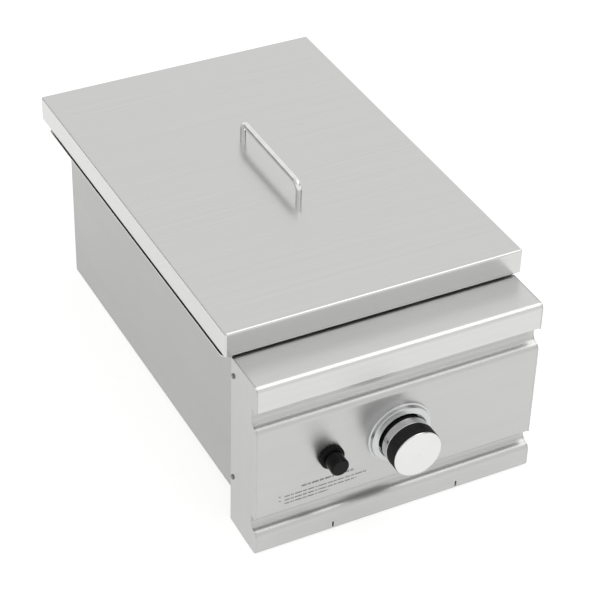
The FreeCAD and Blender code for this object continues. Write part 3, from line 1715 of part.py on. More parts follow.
def check_features():
    """Stops where a feature failed, a cut took nothing out or a sub-part isn't a valid solid."""
    for item in doc.Objects:
        if "Invalid" in item.State or "Error" in item.State:
            raise RuntimeError(f"{item.Label} is {item.State}")
        if item.TypeId in ("PartDesign::Pocket", "PartDesign::Groove", "PartDesign::SubtractivePipe"):
            if item.Shape.Volume > item.BaseFeature.Shape.Volume - 1e-3:
                raise RuntimeError(f"{item.Label} cuts nothing")
    for name, body in nodes.items():
        if body.Shape.isNull() or not body.Shape.isValid() or not body.Shape.Solids:
            raise RuntimeError(f"{name} isn't a valid solid")


def write_parts():
    """Writes each sub-part to its own file."""
    os.makedirs("parts", exist_ok=True)
    for name, body in nodes.items():
        body.Shape.exportStep(f"parts/{name}.step")


build()
doc.recompute()
check_features()
write_parts()
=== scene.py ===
"""Looks of the built in side burner: finishes, small pieces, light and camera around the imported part.

Everything is in metres, in the part's own frame: X across, Y from the knob to the back, Z up.
Sizes in fields are in millimetres where their comment or docstring says so.
"""

from __future__ import annotations

import logging
import math
from dataclasses import dataclass, field
from enum import Enum
from typing import Any, Callable, Iterator, Sequence

import bmesh
import bpy
from mathutils import Matrix, Vector

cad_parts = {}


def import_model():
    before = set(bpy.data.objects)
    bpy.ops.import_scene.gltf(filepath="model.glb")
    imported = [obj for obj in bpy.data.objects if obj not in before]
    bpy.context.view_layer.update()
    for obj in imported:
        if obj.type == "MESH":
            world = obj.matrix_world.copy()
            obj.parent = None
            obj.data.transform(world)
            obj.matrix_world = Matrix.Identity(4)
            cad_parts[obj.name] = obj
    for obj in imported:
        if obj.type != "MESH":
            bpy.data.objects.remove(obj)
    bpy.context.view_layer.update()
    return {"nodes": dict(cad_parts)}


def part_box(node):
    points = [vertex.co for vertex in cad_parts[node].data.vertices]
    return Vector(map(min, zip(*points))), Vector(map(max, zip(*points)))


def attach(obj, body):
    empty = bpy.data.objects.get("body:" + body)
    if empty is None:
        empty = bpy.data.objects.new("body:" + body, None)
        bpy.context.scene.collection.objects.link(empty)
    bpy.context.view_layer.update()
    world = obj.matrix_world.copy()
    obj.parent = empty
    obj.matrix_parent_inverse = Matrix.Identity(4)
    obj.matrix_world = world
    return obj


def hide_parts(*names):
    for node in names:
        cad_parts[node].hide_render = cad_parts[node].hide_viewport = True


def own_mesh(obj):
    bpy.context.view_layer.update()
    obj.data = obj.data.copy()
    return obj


LOG = logging.getLogger("side_burner")
MM = 0.001

# places in the row frame: the lid's front edge, the face of the control panel and the knob's axis
LID_FRONT = -0.17675
PANEL_FACE = LID_FRONT - 0.0505
KNOB_HEIGHT = 0.0945

# how the shared noise is drawn, and the range that most of its values lie in
NOISE_ROUGHNESS = 0.6
NOISE_LOW, NOISE_HIGH = 0.3, 0.7
BEVEL_SAMPLES = 4

# corners nearer than this, in metres, are one corner
WELD_DISTANCE = 1e-6
QUARTER_TURN = math.radians(90)
WHITE = (1.0, 1.0, 1.0, 1.0)


def linear(colour: str) -> tuple[float, float, float, float]:
    """Turns an sRGB hex colour into the linear colour that a shader takes.

    Args:
        colour: six hex digits after a hash mark.

    Returns:
        Linear red, green and blue, and an alpha of one.
    """
    parts = [int(colour[i : i + 2], 16) / 255 for i in (1, 3, 5)]
    red, green, blue = (p / 12.92 if p <= 0.04045 else ((p + 0.055) / 1.055) ** 2.4 for p in parts)
    return red, green, blue, 1.0


def add_node(
    tree: bpy.types.NodeTree, kind: str, inputs: dict[Any, Any] | None = None, **settings: Any
) -> bpy.types.Node:
    """Adds a node with its settings, numbers and links.

    Args:
        tree: the node tree that gets the node.
        kind: the node's type name, without the leading ShaderNode.
        inputs: socket name or index to a value, or to an output socket that is linked to it.
        **settings: attributes of the node itself.

    Returns:
        The new node.
    """
    node = tree.nodes.new(f"ShaderNode{kind}")
    for name, value in settings.items():
        setattr(node, name, value)
    for name, value in (inputs or {}).items():
        if isinstance(value, bpy.types.NodeSocket):
            tree.links.new(value, node.inputs[name])
        else:
            node.inputs[name].default_value = value
    return node


class Grain(Enum):
    """Which way the lines of a brushed or turned surface run."""

    ACROSS = (1.0, 0.0, 0.0)
    BACK = (0.0, 1.0, 0.0)
    UP = (0.0, 0.0, 1.0)


@dataclass(frozen=True)
class Finish:
    """A surface finish. Each kind draws its own nodes on the shared start.

    Attributes:
        label: the real material and how its surface was made.
        colour: sRGB hex colour.
        roughness: the shader's roughness at its middle.
        swing: how far the roughness goes below and above its middle.
        edge: radius in millimetres that sharp edges are softened by.
    """

    label: str
    colour: str
    roughness: float
    swing: tuple[float, float] = (0.05, 0.05)
    edge: float = 0.25

    def material(self) -> bpy.types.Material:
        """Gives the finish's material, and makes it the first time.

        Returns:
            The material, named for the finish.
        """
        made = bpy.data.materials.get(self.label)
        if made is None:
            made = bpy.data.materials.new(self.label)
            made.use_nodes = True
            tree = made.node_tree
            tree.nodes.clear()
            base = {"Base Color": linear(self.colour), "Roughness": self.roughness}
            shader = add_node(tree, "BsdfPrincipled", base)
            add_node(tree, "OutputMaterial", {"Surface": shader.outputs[0]})
            self.draw(tree, shader)
        return made

    def draw(self, tree: bpy.types.NodeTree, shader: bpy.types.Node) -> None:
        """Draws the finish's own nodes."""
        raise NotImplementedError

    def place(self, tree: bpy.types.NodeTree, spacing: Sequence[float]) -> bpy.types.NodeSocket:
        """Gives object coordinates in which one unit is this many millimetres along each axis.

        Args:
            tree: the material's nodes.
            spacing: millimetres along X, Y and Z.

        Returns:
            The socket with the scaled coordinates.
        """
        coordinates = add_node(tree, "TexCoord").outputs["Object"]
        scale = [1 / (length * MM) for length in spacing]
        return add_node(tree, "Mapping", {"Vector": coordinates, "Scale": scale}).outputs[0]

    def noise(
        self, tree: bpy.types.NodeTree, spacing: Sequence[float], detail: float = 2.0
    ) -> bpy.types.NodeSocket:
        """Draws a noise.

        Args:
            tree: the material's nodes.
            spacing: width of its blots in millimetres, along X, Y and Z.
            detail: octaves of finer noise on top.

        Returns:
            The socket with the noise.
        """
        inputs = {"Vector": self.place(tree, spacing), "Scale": 1.0, "Detail": detail,
                  "Roughness": NOISE_ROUGHNESS}
        return add_node(tree, "TexNoise", inputs).outputs[0]

    def cells(self, tree: bpy.types.NodeTree, size: float) -> bpy.types.NodeSocket:
        """Draws cells of this many millimetres, dark in their middles."""
        inputs = {"Vector": self.place(tree, [size] * 3), "Scale": 1.0}
        return add_node(tree, "TexVoronoi", inputs).outputs[0]

    def average(
        self, tree: bpy.types.NodeTree, first: bpy.types.NodeSocket, second: bpy.types.NodeSocket
    ) -> bpy.types.NodeSocket:
        """Gives the average of two patterns."""
        total = add_node(tree, "Math", {0: first, 1: second}, operation="ADD").outputs[0]
        return add_node(tree, "Math", {0: total, 1: 0.5}, operation="MULTIPLY").outputs[0]

    def spread(
        self, tree: bpy.types.NodeTree, value: bpy.types.NodeSocket, low: float, high: float
    ) -> bpy.types.NodeSocket:
        """Maps the busy middle of a noise on to a range.

        Args:
            tree: the material's nodes.
            value: the noise.
            low: what its low values become.
            high: what its high values become.

        Returns:
            The socket with the mapped values.
        """
        inputs = {"Value": value, "From Min": NOISE_LOW, "From Max": NOISE_HIGH,
                  "To Min": low, "To Max": high}
        return add_node(tree, "MapRange", inputs).outputs[0]

    def vary(self, tree: bpy.types.NodeTree, shader: bpy.types.Node, value: bpy.types.NodeSocket) -> None:
        """Lets the roughness swing round its middle with a pattern."""
        below, above = self.swing
        rough = self.spread(tree, value, self.roughness - below, self.roughness + above)
        tree.links.new(rough, shader.inputs["Roughness"])

    def tint(
        self, tree: bpy.types.NodeTree, shader: bpy.types.Node, value: bpy.types.NodeSocket, other: str
    ) -> None:
        """Blends the base colour towards another one.

        Args:
            tree: the material's nodes.
            shader: the surface shader.
            value: share of the other colour, from 0 to 1.
            other: sRGB hex colour.
        """
        inputs = {0: value, 6: linear(self.colour), 7: linear(other)}
        blend = add_node(tree, "Mix", inputs, data_type="RGBA")
        tree.links.new(blend.outputs[2], shader.inputs["Base Color"])

    def relief(
        self, tree: bpy.types.NodeTree, shader: bpy.types.Node, height: bpy.types.NodeSocket, depth: float
    ) -> None:
        """Bumps the surface and softens its sharp edges.

        Args:
            tree: the material's nodes.
            shader: the surface shader.
            height: the pattern, from 0 to 1.
            depth: its height in millimetres.
        """
        soft = add_node(tree, "Bevel", {"Radius": self.edge * MM}, samples=BEVEL_SAMPLES)
        inputs = {"Height": height, "Strength": 1.0, "Distance": depth * MM, "Normal": soft.outputs[0]}
        bump = add_node(tree, "Bump", inputs)
        tree.links.new(bump.outputs[0], shader.inputs["Normal"])


@dataclass(frozen=True)
class BrushedSheet(Finish):
    """Stainless sheet with a belt-brushed grain: reflections smear across it, and fine lines run along it.

    Attributes:
        grain: which way the lines run.
        pitch: width of the lines in millimetres. The real ones are 0.1 mm, drawn as coarse as can show.
        streak: length of the lines in millimetres.
        band: how many times wider and longer than a line the bands of the belt's passes are.
        cloud: size of the handling marks in millimetres.
        depth: depth of the lines in millimetres.
        stretch: how much reflections smear across the grain.
        shade: share of the dark colour in the deepest lines.
        dark: the dark colour.
    """

    swing: tuple[float, float] = (0.03, 0.03)
    edge: float = 0.5
    grain: Grain = Grain.ACROSS
    pitch: float = 0.5
    streak: float = 110.0
    band: tuple[float, float] = (9.0, 5.0)
    cloud: float = 90.0
    depth: float = 0.0008
    stretch: float = 0.4
    shade: float = 0.12
    dark: str = "#A9A9A8"

    def scratches(
        self, tree: bpy.types.NodeTree, wide: float, long: float, detail: float = 2.0
    ) -> bpy.types.NodeSocket:
        """Draws lines this many millimetres wide and long, along the grain."""
        return self.noise(tree, [long if along else wide for along in self.grain.value], detail)

    def draw(self, tree: bpy.types.NodeTree, shader: bpy.types.Node) -> None:
        """Draws the grain, the cloudy handling marks and the stretched gloss."""
        wider, longer = self.band
        lines = self.scratches(tree, self.pitch, self.streak, 3.0)
        bands = self.scratches(tree, self.pitch * wider, self.streak * longer)
        clouds = self.noise(tree, [self.cloud] * 3)
        mixed = self.average(tree, lines, bands)
        self.tint(tree, shader, self.spread(tree, mixed, 0.0, self.shade), self.dark)
        self.vary(tree, shader, self.average(tree, mixed, clouds))
        shader.inputs["Metallic"].default_value = 1.0
        shader.inputs["Anisotropic"].default_value = self.stretch
        # a quarter of a turn lays the smear across the tangent
        shader.inputs["Anisotropic Rotation"].default_value = 0.25
        along = add_node(tree, "CombineXYZ", dict(enumerate(self.grain.value)))
        tree.links.new(along.outputs[0], shader.inputs["Tangent"])
        self.relief(tree, shader, lines, self.depth)


@dataclass(frozen=True)
class PolishedMetal(Finish):
    """Buffed or plated metal: a clear mirror with faint buffing lines and finger marks.

    Attributes:
        mark: size of the finger marks in millimetres.
        fine: size of the buffing lines in millimetres.
        cloud: share of the haze's colour in the marks.
        haze: the haze's colour.
        depth: depth of the buffing lines in millimetres.
    """

    swing: tuple[float, float] = (0.0, 0.04)
    edge: float = 0.3
    mark: float = 14.0
    fine: float = 0.8
    cloud: float = 0.25
    haze: str = "#B9BBBD"
    depth: float = 0.001

    def draw(self, tree: bpy.types.NodeTree, shader: bpy.types.Node) -> None:
        """Draws the mirror and its faint marks."""
        marks = self.noise(tree, [self.mark] * 3)
        lines = self.noise(tree, [self.fine] * 3)
        self.vary(tree, shader, marks)
        self.tint(tree, shader, self.spread(tree, marks, 0.0, self.cloud), self.haze)
        shader.inputs["Metallic"].default_value = 1.0
        self.relief(tree, shader, lines, self.depth)


@dataclass(frozen=True)
class PlatedSteel(Finish):
    """Zinc plated pressings and screws: a grey satin with bluish and yellowish blots.

    Attributes:
        blot: the blots' colour.
        blot_size: their size in millimetres.
        blot_share: share of their colour at their middle.
        crystal: size of the plating's crystals in millimetres.
        depth: height of the crystals in millimetres.
    """

    swing: tuple[float, float] = (0.06, 0.08)
    edge: float = 0.2
    blot: str = "#A7A48F"
    blot_size: float = 7.0
    blot_share: float = 0.6
    crystal: float = 1.6
    depth: float = 0.01

    def draw(self, tree: bpy.types.NodeTree, shader: bpy.types.Node) -> None:
        """Draws the blots and the fine crystal of the plating."""
        blots = self.noise(tree, [self.blot_size] * 3)
        crystals = self.cells(tree, self.crystal)
        self.tint(tree, shader, self.spread(tree, blots, 0.0, self.blot_share), self.blot)
        self.vary(tree, shader, crystals)
        shader.inputs["Metallic"].default_value = 0.95
        self.relief(tree, shader, crystals, self.depth)


@dataclass(frozen=True)
class CastMetal(Finish):
    """Sand or die cast metal: a grainy skin, darker in its pits.

    Attributes:
        grit: size of the mould's grains in millimetres. The pits are three times as far apart.
        depth: depth of the pits in millimetres.
        pits: their colour.
        pit_share: share of their colour at the bottom.
    """

    swing: tuple[float, float] = (0.08, 0.08)
    edge: float = 0.5
    grit: float = 1.1
    depth: float = 0.09
    pits: str = "#6E6F70"
    pit_share: float = 0.7

    def draw(self, tree: bpy.types.NodeTree, shader: bpy.types.Node) -> None:
        """Draws the mould's grain and the pits."""
        grains = self.noise(tree, [self.grit] * 3, 4.0)
        pits = self.cells(tree, self.grit * 3)
        height = add_node(tree, "Math", {0: grains, 1: pits}, operation="MULTIPLY")
        self.tint(tree, shader, self.spread(tree, grains, self.pit_share, 0.0), self.pits)
        self.vary(tree, shader, grains)
        shader.inputs["Metallic"].default_value = 0.9
        self.relief(tree, shader, height.outputs[0], self.depth)


@dataclass(frozen=True)
class Enamel(Finish):
    """Fired enamel on steel: a dark skin with an orange-peel ripple and pale specks.

    Attributes:
        specks: the specks' colour.
        speck_size: their size in millimetres.
        speck_range: values of the noise at which a speck starts and is full.
        ripple_size: width of the ripples in millimetres.
        depth: height of the ripples in millimetres.
    """

    swing: tuple[float, float] = (0.06, 0.08)
    edge: float = 0.4
    specks: str = "#3C3C3E"
    speck_size: float = 0.9
    speck_range: tuple[float, float] = (0.62, 0.7)
    ripple_size: float = 3.5
    depth: float = 0.05

    def draw(self, tree: bpy.types.NodeTree, shader: bpy.types.Node) -> None:
        """Draws the ripple and the specks."""
        ripple = self.noise(tree, [self.ripple_size] * 3)
        spots = self.noise(tree, [self.speck_size] * 3)
        first, full = self.speck_range
        inputs = {"Value": spots, "From Min": first, "From Max": full, "To Min": 0.0, "To Max": 1.0}
        self.tint(tree, shader, add_node(tree, "MapRange", inputs).outputs[0], self.specks)
        self.vary(tree, shader, ripple)
        shader.inputs["Coat Weight"].default_value = 0.3
        shader.inputs["Coat Roughness"].default_value = 0.25
        self.relief(tree, shader, ripple, self.depth)


@dataclass(frozen=True)
class TurnedBrass(Finish):
    """Brass turned on a lathe: fine rings round its axis and a warm tarnish.

    Attributes:
        axis: the lathe's axis.
        ring: spacing of the tool's rings in millimetres.
        smooth: size along the rings over which they hardly change, in millimetres.
        depth: height of the rings in millimetres.
        tarnish: the tarnish's colour.
        tarnish_size: size of its patches in millimetres.
        tarnish_share: share of its colour at their middle.
    """

    swing: tuple[float, float] = (0.05, 0.12)
    axis: Grain = Grain.BACK
    ring: float = 0.5
    smooth: float = 400.0
    depth: float = 0.01
    tarnish: str = "#8A6A32"
    tarnish_size: float = 6.0
    tarnish_share: float = 0.7

    def draw(self, tree: bpy.types.NodeTree, shader: bpy.types.Node) -> None:
        """Draws the tool's rings and the tarnish."""
        rings = self.noise(tree, [self.ring if along else self.smooth for along in self.axis.value])
        patches = self.noise(tree, [self.tarnish_size] * 3)
        self.tint(tree, shader, self.spread(tree, patches, 0.0, self.tarnish_share), self.tarnish)
        self.vary(tree, shader, patches)
        shader.inputs["Metallic"].default_value = 1.0
        self.relief(tree, shader, rings, self.depth)


@dataclass(frozen=True)
class Moulded(Finish):
    """Moulded plastic, rubber or ceramic: its own gloss over a fine spark-eroded or wrinkled skin.

    Attributes:
        skin: size of the skin's grain in millimetres.
        depth: its depth in millimetres.
        blot_size: size of the slight blots in millimetres.
        other: the blots' colour.
        gloss: the shader's specular level.
    """

    swing: tuple[float, float] = (0.04, 0.05)
    skin: float = 0.6
    depth: float = 0.01
    blot_size: float = 9.0
    other: str = "#1E1E1F"
    gloss: float = 0.5

    def draw(self, tree: bpy.types.NodeTree, shader: bpy.types.Node) -> None:
        """Draws the skin's texture and slight blots."""
        skin = self.noise(tree, [self.skin] * 3, 3.0)
        blots = self.noise(tree, [self.blot_size] * 3)
        self.tint(tree, shader, self.spread(tree, blots, 0.0, 1.0), self.other)
        self.vary(tree, shader, blots)
        shader.inputs["Specular IOR Level"].default_value = self.gloss
        self.relief(tree, shader, skin, self.depth)


# 304 sheet of the lid, belt brushed across: pale grey, with fine lines and stretched reflections
LID_SHEET = BrushedSheet("stainless_sheet_brushed_lid", "#D3D3D2", 0.25)
# the same sheet on the ledge, handled more: its reflections are softer
LEDGE_SHEET = BrushedSheet("stainless_sheet_brushed_ledge", "#D6D6D5", 0.31)
# the panel's and the rail's sheet: duller, and its reflections are drawn out the furthest. Its colour is
# darker than the ledge's: partly the duller finish, partly painted shade for the shaded floor close in front
# that it mirrors
PANEL_SHEET = BrushedSheet("stainless_sheet_brushed_panel", "#C6C6C5", 0.36, stretch=0.6)
# the end plates, cut with the grain upright: a shade darker than the front
END_SHEET = BrushedSheet("stainless_sheet_brushed_ends", "#C0C0BF", 0.32, grain=Grain.UP)
# cold-rolled sheet of the box: duller and cloudier, with hardly any grain
BOX_SHEET = BrushedSheet(
    "stainless_sheet_cold_rolled", "#B0B0AF", 0.36, grain=Grain.BACK, pitch=2.2, depth=0.002, stretch=0.3)
# drawn and pickled bowl: soft sheen from the press
BOWL_SHEET = BrushedSheet(
    "stainless_sheet_deep_drawn", "#D2D2D0", 0.31, grain=Grain.BACK, pitch=1.6, depth=0.003, stretch=0.35)
# buffed stainless rod of the handle: bright mirror
POLISHED_ROD = PolishedMetal("stainless_rod_buffed", "#EEEEED", 0.04)
# set heads of the end plates' rivets: their dark grey is painted shade, which makes them small dark dots in
# the bright sheet
RIVET_STEEL = PolishedMetal("stainless_rivet_dulled", "#6E6F70", 0.38, swing=(0.0, 0.08))
# electropolished wire of the grate and the springs: a softer mirror
GRATE_ROD = PolishedMetal("stainless_rod_electropolished", "#D6D4D0", 0.2, swing=(0.0, 0.08))
# chromed zinc die casting of the bezel: bright and cold, with a soft gloss
CHROME = PolishedMetal("chrome_plated_die_casting", "#CBCCCC", 0.25, swing=(0.0, 0.05))
# satin-turned aluminium of the knob's ring: a softly shining band
RING_METAL = PolishedMetal("aluminium_ring_satin_turned", "#D6D7D7", 0.24, swing=(0.0, 0.06))
# polished disc in the knob's face: nearly white, because it mirrors the floor
CAP_METAL = PolishedMetal("stainless_disc_polished", "#DFDFDE", 0.08, swing=(0.0, 0.03), cloud=0.06)
# zinc plated pressings and screws: dull grey with blots
ZINC = PlatedSteel("steel_zinc_plated", "#B7B9B6", 0.36)
# drawn aluminium of the gas pipe: a smooth light grey
PIPE_METAL = PlatedSteel("aluminium_tube_drawn", "#C2C3C4", 0.3, blot="#AFB0B0")
# sand-cast aluminium of the burner: grey and grainy
BURNER_CASTING = CastMetal("aluminium_sand_cast", "#A9A9A6", 0.5)
# die-cast aluminium of the valve: smoother and a little brighter than the burner
VALVE_CASTING = CastMetal("aluminium_die_cast", "#B5B6B6", 0.4, grit=0.7, depth=0.04)
# black fired enamel of the burner cap: dark and glossy, with a ripple
CAP_ENAMEL = Enamel("steel_black_enamel", "#141415", 0.34)
# turned brass of the jet, the core and the gas fittings: warm and ringed
BRASS = TurnedBrass("brass_turned", "#C3A15B", 0.26)
# glossy ABS of the igniter button: the smoothest of the black pieces
BUTTON_PLASTIC = Moulded(
    "abs_moulded_glossy", "#0A0A0B", 0.18, skin=1.2, depth=0.003, other="#111112", gloss=0.14)
# glass-filled nylon of the knob's body and the nut: half matt
BODY_PLASTIC = Moulded(
    "nylon_moulded_black", "#0C0C0D", 0.4, skin=0.5, depth=0.012, other="#161617", gloss=0.12)
# soft rubber sleeve of the grip and the bumpers: matt, with a leathery skin
RUBBER = Moulded("rubber_moulded_black", "#080808", 0.38, skin=0.9, depth=0.03, other="#141414", gloss=0.3)
# glazed alumina of the electrode: off-white and glassy
CERAMIC = Moulded("alumina_glazed", "#E9E6DC", 0.16, skin=1.5, depth=0.004, other="#DDD8CA", gloss=0.6)
# printed film round the dry cell: dark blue-grey and smooth
CELL_FILM = Moulded("steel_can_film_wrapped", "#3B4148", 0.3, skin=1.5, depth=0.002, other="#4A5058")
# screen-printed ink of the panel's marks: black and flat
INK = Moulded("screen_print_ink", "#161617", 0.55, skin=0.5, depth=0.004, other="#242425", gloss=0.3)


@dataclass
class Subassembly:
    """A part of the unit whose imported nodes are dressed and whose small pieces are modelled.

    Attributes:
        finishes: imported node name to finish.
    """

    finishes: dict[str, Finish] = field(default_factory=dict)

    def dress(self, nodes: dict[str, bpy.types.Object]) -> None:
        """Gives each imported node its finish.

        Args:
            nodes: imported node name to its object.
        """
        for name, finish in self.finishes.items():
            materials = nodes[name].data.materials
            materials.clear()
            materials.append(finish.material())
            LOG.info("%s: %s", name, finish.label)

    def pieces(self) -> Iterator[bpy.types.Object]:
        """Models the sub-assembly's own small pieces. Most have none."""
        yield from ()


def only(*pieces: bpy.types.Object) -> None:
    """Selects these objects and no others, and makes the first one active."""
    bpy.ops.object.select_all(action="DESELECT")
    for piece in pieces:
        piece.select_set(True)
    bpy.context.view_layer.objects.active = pieces[0]


def start(kind: str, name: str, **sizes: Any) -> bpy.types.Object:
    """Adds a primitive, with nothing else selected.

    Args:
        kind: the primitive's name in bpy.ops.mesh.
        name: the new piece's name.
        **sizes: the operator's settings.

    Returns:
        The new object.
    """
    bpy.ops.object.select_all(action="DESELECT")
    getattr(bpy.ops.mesh, f"primitive_{kind}_add")(**sizes)
    made = bpy.context.active_object
    made.name = name
    made.data.name = name
    return made


def choose_faces(piece: bpy.types.Object, wanted: Callable[[Vector, Vector], bool]) -> None:
    """Enters edit mode with some of the faces selected.

    Args:
        piece: the piece to edit.
        wanted: tells from a face's centre and normal whether it is selected.
    """
    only(piece)
    bpy.ops.object.mode_set(mode="EDIT")
    bpy.ops.mesh.select_mode(type="FACE")
    bpy.ops.mesh.select_all(action="DESELECT")
    mesh = bmesh.from_edit_mesh(piece.data)
    for face in mesh.faces:
        face.select_set(wanted(face.calc_center_median(), face.normal))
    bmesh.update_edit_mesh(piece.data)


def leave_edit() -> None:
    """Goes back to object mode."""
    bpy.ops.object.mode_set(mode="OBJECT")


def close_up() -> None:
    """In edit mode, merges corners that lie together and turns all faces outwards, then leaves it."""
    bpy.ops.mesh.select_all(action="SELECT")
    bpy.ops.mesh.remove_doubles(threshold=WELD_DISTANCE)
    bpy.ops.mesh.normals_make_consistent(inside=False)
    leave_edit()


def settle(piece: bpy.types.Object) -> None:
    """Moves the piece's place, turn and size into its mesh."""
    only(piece)
    bpy.ops.object.transform_apply(location=True, rotation=True, scale=True)


def add_modifier(piece: bpy.types.Object, kind: str, **settings: Any) -> None:
    """Adds a modifier and applies it.

    Args:
        piece: the piece to change.
        kind: the modifier's type.
        **settings: the modifier's settings.
    """
    only(piece)
    modifier = piece.modifiers.new(kind.title(), kind)
    for name, value in settings.items():
        setattr(modifier, name, value)
    bpy.ops.object.modifier_apply(modifier=modifier.name)


def finished(
    piece: bpy.types.Object, finish: Finish, body: str, smooth: float = 35.0
) -> bpy.types.Object:
    """Shades, dresses and hangs a modelled piece.

    Args:
        piece: the modelled piece.
        finish: its finish.
        body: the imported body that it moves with.
        smooth: edges flatter than this many degrees are shaded smooth.

    Returns:
        The same piece.
    """
    settle(piece)
    bpy.ops.object.shade_smooth_by_angle(angle=math.radians(smooth))
    piece.data.materials.clear()
    piece.data.materials.append(finish.material())
    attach(piece, body)
    LOG.info("%s: %s on %s", piece.name, finish.label, body)
    return piece


def turned(name: str, profile: Sequence[tuple[float, float]], facets: int) -> bpy.types.Object:
    """Turns a closed profile round the Z axis, by extruding a circle from corner to corner.

    Args:
        name: the new piece's name.
        profile: radius and height of each corner, in millimetres. The last corner joins the first.
        facets: number of facets round the piece.

    Returns:
        The new object, centred on the world's Z axis.
    """
    radius, height = profile[0]
    piece = start("circle", name, vertices=facets, radius=radius * MM, location=(0, 0, height * MM))
    settle(piece)
    bpy.ops.object.mode_set(mode="EDIT")
    bpy.ops.mesh.select_mode(type="VERT")
    bpy.ops.mesh.select_all(action="SELECT")
    for wide, high in (*profile[1:], profile[0]):
        bpy.ops.mesh.extrude_region_move(TRANSFORM_OT_translate={"value": (0, 0, (high - height) * MM)})
        bpy.ops.transform.resize(value=(wide / radius, wide / radius, 1), center_override=(0, 0, high * MM))
        radius, height = wide, high
    close_up()
    return piece


@dataclass
class Lid(Subassembly):
    """The folded lid, its handle and the bumpers under its hem."""

    finishes: dict[str, Finish] = field(default_factory=lambda: {
        "lid_shell": LID_SHEET, "lid_handle": POLISHED_ROD, "handle_screws": ZINC, "lid_bumpers": RUBBER})


@dataclass
class HotBox(Subassembly):
    """The box that hangs in the counter, with its frame and bowl."""

    finishes: dict[str, Finish] = field(default_factory=lambda: {
        "top_frame": LID_SHEET, "left_side_panel": BOX_SHEET, "right_side_panel": BOX_SHEET,
        "rear_panel": BOX_SHEET, "base_panel": BOX_SHEET, "front_bulkhead": BOX_SHEET,
        "drip_pan": BOWL_SHEET, "rear_screws": ZINC})


@dataclass
class PrintRow:
    """A row of printed marks on the control panel, in millimetres.

    Attributes:
        left: where it starts.
        right: where it ends.
        height: its middle above the foot.
        tall: height of its tallest strokes.
    """

    left: float
    right: float
    height: float
    tall: float


@dataclass
class FrontBox(Subassembly):
    """The control box in front: ledge, panel, rail and end plates, and the marks printed on the panel.

    Attributes:
        rows: the rows of marks.
        words: number of strokes in each group, over and over.
        stroke: width of a stroke, in millimetres.
        pitch: distance from stroke to stroke, in millimetres.
        ink: thickness of the ink, in millimetres.
        corner: how far a stroke's corners are cut, as a share of its size.
        short: height of the shortest stroke, as a share of the tallest.
    """

    finishes: dict[str, Finish] = field(default_factory=lambda: {
        "top_ledge": LEDGE_SHEET, "control_panel": PANEL_SHEET, "bottom_rail": PANEL_SHEET,
        "left_end_panel": END_SHEET, "right_end_panel": END_SHEET, "end_rivets": RIVET_STEEL})
    rows: tuple[PrintRow, ...] = (
        PrintRow(-99, -45, 65.5, 2.6), PrintRow(-116, -33, 58.8, 1.7), PrintRow(-116, -43, 54.5, 1.7),
        PrintRow(-116, -71, 50.4, 1.7), PrintRow(-122, -120.8, 60.0, 1.7), PrintRow(-122, -120.8, 55.0, 1.7))
    words: tuple[int, ...] = (5, 3, 7, 4, 6, 2, 8, 5, 3, 6)
    stroke: float = 0.62
    pitch: float = 1.05
    ink: float = 0.04
    corner: float = 0.22
    short: float = 0.7

    def mark(self) -> bpy.types.Object:
        """Models one stroke: a plate with cut corners, one unit each way."""
        mark = start("plane", "print_stroke", size=1.0)
        choose_faces(mark, lambda centre, normal: True)
        bpy.ops.mesh.bevel(offset=self.corner, segments=2, affect="VERTICES")
        bpy.ops.mesh.select_all(action="SELECT")
        bpy.ops.mesh.extrude_region_move(TRANSFORM_OT_translate={"value": (0, 0, 1)})
        leave_edit()
        return mark

    def places(self, row: PrintRow) -> Iterator[tuple[float, float]]:
        """Gives the strokes of a row, in groups with a gap between them.

        Args:
            row: the row.

        Yields:
            Place across and height of each stroke, in millimetres. Five heights follow each other.
        """
        across, count, word = row.left, 0, 0
        while across <= row.right:
            if count == self.words[word % len(self.words)]:
                count, word = 0, word + 1
            else:
                step = (count * 7 + word * 3) % 5
                yield across, row.tall * (self.short + (1 - self.short) * step / 4)
                count += 1
            across += self.pitch

    def pieces(self) -> Iterator[bpy.types.Object]:
        """Models the printed marks: rows of plain strokes in groups, which stand for no letters."""
        mark = self.mark()
        upright = Matrix.Rotation(QUARTER_TURN, 4, "X")
        strokes = []
        for row in self.rows:
            for across, tall in self.places(row):
                copy = mark.copy()
                copy.data = mark.data.copy()
                bpy.context.collection.objects.link(copy)
                copy.matrix_world = (
                    Matrix.Translation((across * MM, PANEL_FACE, row.height * MM)) @ upright
                    @ Matrix.Diagonal((self.stroke * MM, tall * MM, self.ink * MM, 1)))
                strokes.append(copy)
        bpy.data.objects.remove(mark)
        only(*strokes)
        bpy.ops.object.join()
        marks = bpy.context.active_object
        marks.name = "panel_print"
        yield finished(marks, INK, "housing")


